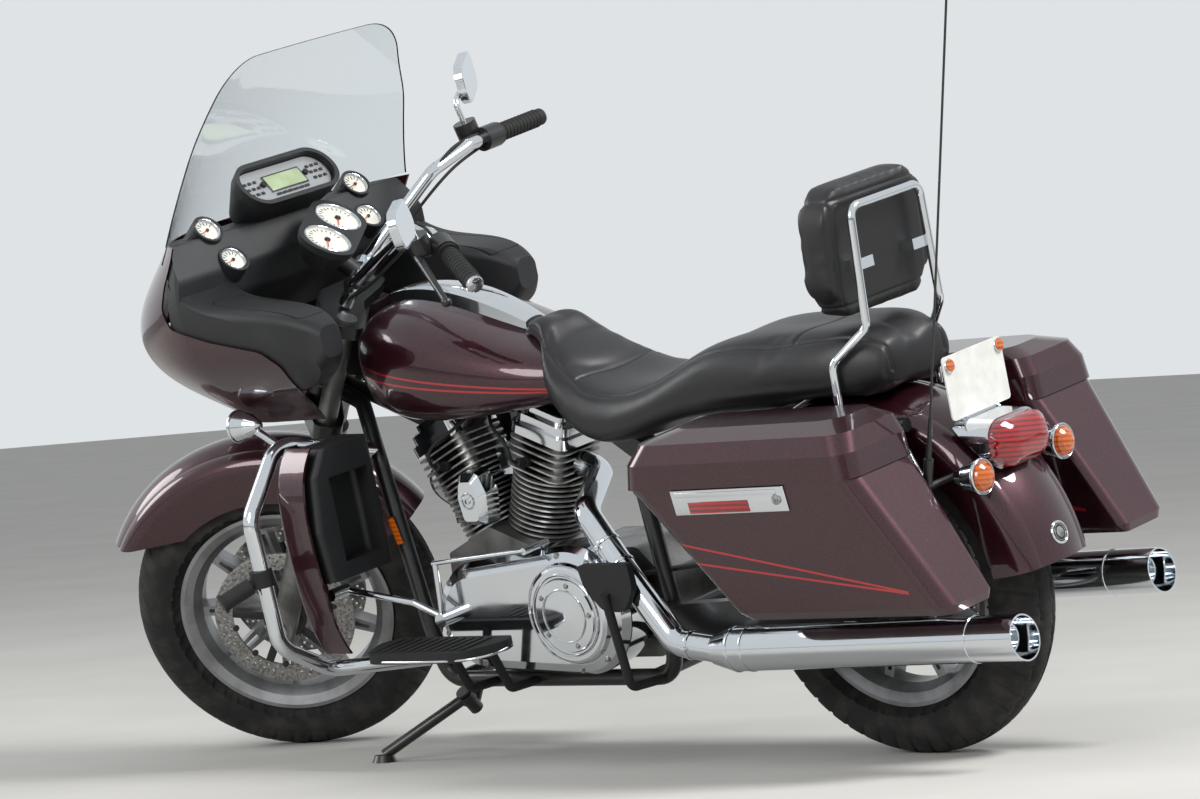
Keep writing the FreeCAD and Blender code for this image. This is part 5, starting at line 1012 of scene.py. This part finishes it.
def makeForkTrim():
    # Dust seals, slider bands and fender bolts
    settings = {"spacing": 105, "rake": 29.25, "axleOffset": 8}
    lean = math.tan(math.radians(settings["rake"]))

    def on(side, z):
        return Vector((settings["axleOffset"] + (z - frontRadius) * lean, side * settings["spacing"], z))

    seals, bands, bolts = [], [], []
    for side in sides:
        run = (on(side, 700) - on(side, 400)).normalized()
        seals.append(disc(on(side, 636), run, 27.5, 12, 2.5, 40))
        seals.append(ring(on(side, 648), run, 22.5, 2.2, 1.4, 40, 10))
        bands += [ring(on(side, z), run, 26.3, 1.4, 1.5, 48, 8) for z in (470, 478, 604)]
        for z in (548, 572):
            outward = Vector((0, side, 0))
            bolts += screwHead(on(side, z) + outward * 25, outward, 5, 4)
    settle(welded("forkSeals", seals), "rubber", "fork", turnedFork)
    settle(welded("forkBands", bands), "chrome", "fork", turnedFork)
    settle(welded("fenderBolts", bolts), "chrome", "fork", turnedFork)


makeDiscs()
makeAxleEnds()
makeForkTrim()
print("brakes and fork trim made")


# Engine and exhaust

def capsuleOutline(grow, steps):
    # Points round the primary cover, over the clutch's end and then the crank's
    settings = {"crank": (700, 325), "clutch": (948, 331), "crankRadius": 108, "clutchRadius": 128}
    (x1, z1), (x2, z2) = settings["crank"], settings["clutch"]
    r1, r2 = settings["crankRadius"] + grow, settings["clutchRadius"] + grow
    distance = math.hypot(x2 - x1, z2 - z1)
    spread = math.asin((r2 - r1) / distance)
    lift = math.atan2(z2 - z1, x2 - x1)
    up, down = lift + math.pi / 2 + spread, lift - math.pi / 2 - spread
    points = []
    for i in range(steps):
        share = i / (steps - 1)
        angle = up - share * (up - down)
        points.append((x2 + r2 * math.cos(angle), z2 + r2 * math.sin(angle)))
    for i in range(steps):
        share = i / (steps - 1)
        angle = down - share * (2 * math.pi - (up - down))
        points.append((x1 + r1 * math.cos(angle), z1 + r1 * math.sin(angle)))
    return points


def makePrimaryTrim():
    settings = {"screwRadius": 5.2, "screwHeight": 5, "derbyScrews": 5, "derbyCircle": 62, "clutch": (948, 331),
                "rings": ((-206.6, 52, 1.6), (-201.5, 80, 2.2), (-195.5, 97, 2.0))}
    centreX, centreZ = settings["clutch"]
    outward = Vector((0, -1, 0))
    screws = []
    for x, z in capsuleOutline(-15, 6):
        screws += screwHead((x, -179.5, z), outward, settings["screwRadius"], settings["screwHeight"])
    for i in range(settings["derbyScrews"]):
        angle = 2 * math.pi * (i + 0.25) / settings["derbyScrews"]
        x = centreX + settings["derbyCircle"] * math.sin(angle)
        z = centreZ + settings["derbyCircle"] * math.cos(angle)
        screws += screwHead((x, -205, z), outward, 4.2, 3.5)
    settle(welded("primaryScrews", screws), "steel", "chassis")
    rings = [ring((centreX, y, centreZ), outward, radius, thickness, 1, 96, 8)
             for y, radius, thickness in settings["rings"]]
    settle(welded("derbyRings", rings), "chrome", "chassis")
    joint = [(x, -158.5, z) for x, z in capsuleOutline(0.6, 14)]
    settle(hose("primaryGasket", joint + joint[:1], 1.3), "rubber", "chassis")


def makeTopEndTrim():
    # Rocker-box bolts, and spark plugs with their leads
    settings = {"top": 345.3, "plates": ((56, 52, 22, 5), (50, 46, 42, 4.5)), "crank": (700, 0, 325),
                "plugHeight": 300, "plugReach": 69}
    bolts, plugs = [], []
    for lean, word in ((-22.5, "Front"), (22.5, "Rear")):
        run = Vector((math.sin(math.radians(lean)), 0, math.cos(math.radians(lean))))
        across = run.cross(Vector((0, 1, 0))).normalized()
        origin = Vector(settings["crank"])
        for halfA, halfB, height, size in settings["plates"]:
            for a in (-1, 1):
                for b in (-1, 1):
                    corner = across * a * halfA + Vector((0, b * halfB, 0))
                    spot = origin + run * (settings["top"] + height) + corner
                    bolts += screwHead(spot, run, size, 4.5)
        head = origin + run * settings["plugHeight"] + Vector((0, -settings["plugReach"], 0))
        head += across * (-8 if lean < 0 else 8)
        tip = head + Vector((0, -32, 6))
        plugs.append(disc(head, tip - head, 11, 12, 1.0, 6))
        plugs.append(disc(head, tip - head, 8.5, 32, 2.0, 24))
        lead = [tip + Vector((0, 6, -1)), tip + Vector((0, -16, 4)), tip + Vector((0, -16, 40)),
                Vector((700 + lean * 1.6, -84, 690)), Vector((700 + lean, -52, 712))]
        plugs.append(hose("lead" + word, lead, 3.6))
    settle(welded("rockerBolts", bolts), "steel", "chassis")
    settle(welded("plugLeads", plugs), "rubber", "chassis")


def makeExhaustTrim():
    # Bands that clamp the heat shields, and the mufflers' seams
    # Each run of pipe has its ends and the shares of its length at which bands sit
    settings = {"pipe": 26, "muffler": 42, "band": 1.6, "mufflerEnds": ((1370, 217, 264), (2030, 217, 276)),
                "mufflerBands": (6, 40, 560),
                "runs": (((1014, -160, 520), (1130, -196, 390), (0.45, 0.75)),
                         ((1230, -217, 278), (1330, -217, 264), (0.35,)))}
    bands = []
    for start, end, shares in settings["runs"]:
        start, end = Vector(start), Vector(end)
        for share in shares:
            spot = start + (end - start) * share
            direction = (end - start).normalized()
            bands += [ring(spot, direction, settings["pipe"] + 0.8, settings["band"], 2.4, 48, 8)]
            bands += [block(spot + Vector((0, -settings["pipe"] - 3, 0)), (12, 7, 9), None, 1.2)]
    for side in sides:
        start, end = [Vector((x, side * y, z)) for x, y, z in settings["mufflerEnds"]]
        direction = (end - start).normalized()
        bands += [ring(start + direction * gap, direction, settings["muffler"] + 0.4, 1.3, 1.6, 64, 8)
                  for gap in settings["mufflerBands"]]
    settle(welded("exhaustBands", bands), "chrome", "chassis")


def makeEngineTrim():
    settings = {"camScrews": [(612, 270), (690, 232), (762, 270), (786, 352), (738, 410), (644, 410),
                              (604, 342)],
                "gearbox": (942, 319), "gearboxCircle": 64, "gearboxScrews": 8, "cleaner": (700, 580),
                "horn": (694, 548)}
    outward = Vector((0, 1, 0))
    parts = []
    for x, z in settings["camScrews"]:
        parts += screwHead((x, 112.2, z), outward, 4.6, 4)
    (x, z), circle = settings["gearbox"], settings["gearboxCircle"]
    for i in range(settings["gearboxScrews"]):
        angle = 2 * math.pi * i / settings["gearboxScrews"]
        parts += screwHead((x + circle * math.sin(angle), 118, z + circle * math.cos(angle)), outward, 4.2, 4)
    settle(welded("rightCoverScrews", parts), "steel", "chassis")
    x, z = settings["cleaner"]
    cleaner = [ring((x, 157, z), outward, 62, 2.4, 1, 96, 8), ring((x, 131, z), outward, 92, 1.8, 1, 96, 8),
               disc((x, 159.5, z), outward, 9, 3.2, 1, 6)]
    settle(welded("airCleanerTrim", cleaner), "black", "chassis")
    x, z = settings["horn"]
    hornTrim = [ring((x, -139, z), (0, -1, 0), 15, 1.6, 1, 48, 8), disc((x, -138, z), (0, -1, 0), 6, 4, 1, 6)]
    settle(welded("hornTrim", hornTrim), "chrome", "chassis")


makePrimaryTrim()
makeTopEndTrim()
makeExhaustTrim()
makeEngineTrim()
print("engine and exhaust trim made")


# Bodywork details and lights

def topOf(nodeName, place, keep):
    # Middle and mean direction of the faces that keep picks, in the machine's millimetres
    patch = skin(nodeName, keep, place)
    centre, direction, area = Vector(), Vector(), 0.0
    for face in patch.data.polygons:
        centre += face.center * face.area
        direction += face.normal * face.area
        area += face.area
    bpy.data.objects.remove(patch)
    return centre / area, direction.normalized()


def medallion(name, centre, direction, radius, body, place):
    # A plain domed disc in a bright ring
    centre, direction = Vector(centre), Vector(direction).normalized()
    rim = [disc(centre - direction, direction, radius, 4, 1.2, 64),
           ring(centre + direction * 3, direction, radius - 2, 1.6, 1, 72, 8)]
    settle(welded(name + "Rim", rim), "chrome", body, place)
    inlay = [disc(centre + direction * 2.4, direction, radius * 0.78, 1.4, 0.4, 64)]
    settle(welded(name + "Inlay", inlay), "dialInk", body, place)
    middle = [disc(centre + direction * 3.2, direction, radius * 0.46, 1.3, 0.5, 48),
              ring(centre + direction * 3.7, direction, radius * 0.66, 0.8, 1, 64, 6)]
    settle(welded(name + "Middle", middle), "steel", body, place)


def makeBagTrim():
    # Latch plates with their red reflectors and locks, low on each bag's outer face
    settings = {"plate": (264, 4, 48), "centre": (1563, 376.4, 583), "slope": 7.4, "strip": (236, 2.0, 9),
                "reflector": (140, 2.4, 22)}
    x, y, z = settings["centre"]
    for side in sides:
        word = "Left" if side < 0 else "Right"
        turn = Matrix.Rotation(math.radians(-side * settings["slope"]), 4, "X")
        centre = Vector((x, side * y, z))

        def on(along, out, up):
            return centre + turn.to_3x3() @ Vector((along, side * out, up))

        plate = [block(centre, settings["plate"], turn, 1.5, 3),
                 block(on(-4, 2.4, 15), settings["strip"], turn, 0.8)]
        settle(welded("latchPlate" + word, plate), "chrome", "chassis")
        lock = [disc(on(112, 2, 0), (0, side, 0.1), 10, 3.2, 0.8, 40),
                disc(on(112, 5, 0), (0, side, 0.1), 5, 0.8, 0, 24)]
        settle(welded("latchLock" + word, lock), "steel", "chassis")
        inlay = block(on(-26, 2.2, -10), settings["reflector"], turn, 0.8)
        settle(welded("latchReflector" + word, [inlay]), "red", "chassis")


def makeLights():
    settings = {"signals": ((1938, 125, 546), (240, 264, 752)), "signalRadius": 31.5,
                "plateLights": ((1869, -72, 739), (1869, 80, 741)), "tubeLight": (477, 133, 494),
                "tubeTilt": -15, "headlamp": (78, 902)}
    # a red cover over the tail lens
    lens = thickened(skin("lenses", lambda c, n: abs(c.y) < 80 and c.x > 1900), 0.7)
    settle(welded("tailLensRed", [lens]), "red", "chassis")
    rims = []
    for x, y, z in settings["signals"]:
        rims += [ring((x, side * y, z), (1, 0, 0), settings["signalRadius"], 2.2, 1.2, 64, 10)
                 for side in sides]
    settle(welded("signalRims", rims), "chrome", "chassis")
    plateLights, plateRings = [], []
    for x, y, z in settings["plateLights"]:
        plateLights.append(disc((x, y, z), (1, 0, 0.1), 11, 6, 1.6, 40))
        plateRings.append(ring((x + 1.5, y, z), (1, 0, 0.1), 11.5, 1.6, 1, 48, 8))
    settle(welded("plateReflectors", plateLights), "amber", "chassis")
    settle(welded("plateReflectorRings", plateRings), "chrome", "chassis")
    x, y, z = settings["tubeLight"]
    turn = Matrix.Rotation(math.radians(settings["tubeTilt"]), 4, "Y")
    tubes = [block((x, side * y, z), (15, 5, 56), turn, 1.2) for side in sides]
    settle(welded("tubeReflectors", tubes), "amber", "chassis")
    y, z = settings["headlamp"]
    bulbs = [disc((-50, side * y, z), (-1, 0, 0), 9, 14, 4, 32) for side in sides]
    bezels = [ring((-62, side * y, z), (1, 0, 0), 33.5, 1.8, 1, 72, 8) for side in sides]
    settle(welded("headlampBulbs", bulbs), "plate", "chassis")
    settle(welded("headlampRims", bezels), "chrome", "chassis")


def makeMedallions():
    medallion("fenderMedallion", (1985, 0, 408), (0.974, 0, 0.225), 22, "chassis", machine)
    centre, direction = topOf("fuel_door", machine, lambda c, n: n.z > 0.85)
    medallion("doorMedallion", centre, direction, 20, "filler_door", machine)


def makeBoards():
    # Ribbed rubber pads with a bright edge on the rider's footboards
    settings = {"ribs": 11, "rib": (14, 88, 3.2), "x": (562, 792), "y": 301, "z": 307.2, "edgeZ": 290,
                "outline": [(548, 250), (526, 282), (552, 358), (660, 363.5), (798, 361), (846, 330),
                            (852, 280), (836, 246)]}
    ribs, edges = [], []
    x0, x1 = settings["x"]
    for side in sides:
        for i in range(settings["ribs"]):
            x = x0 + (x1 - x0) * i / (settings["ribs"] - 1)
            ribs.append(block((x, side * settings["y"], settings["z"]), settings["rib"], None, 1.2))
        edges.append(hose("boardEdge", [(x, side * y, settings["edgeZ"]) for x, y in settings["outline"]], 2.6))
    settle(welded("boardRibs", ribs), "rubber", "chassis")
    settle(welded("boardEdges", edges), "chrome", "chassis")


makeBagTrim()
makeLights()
makeMedallions()
makeBoards()
print("bodywork details and lights made")
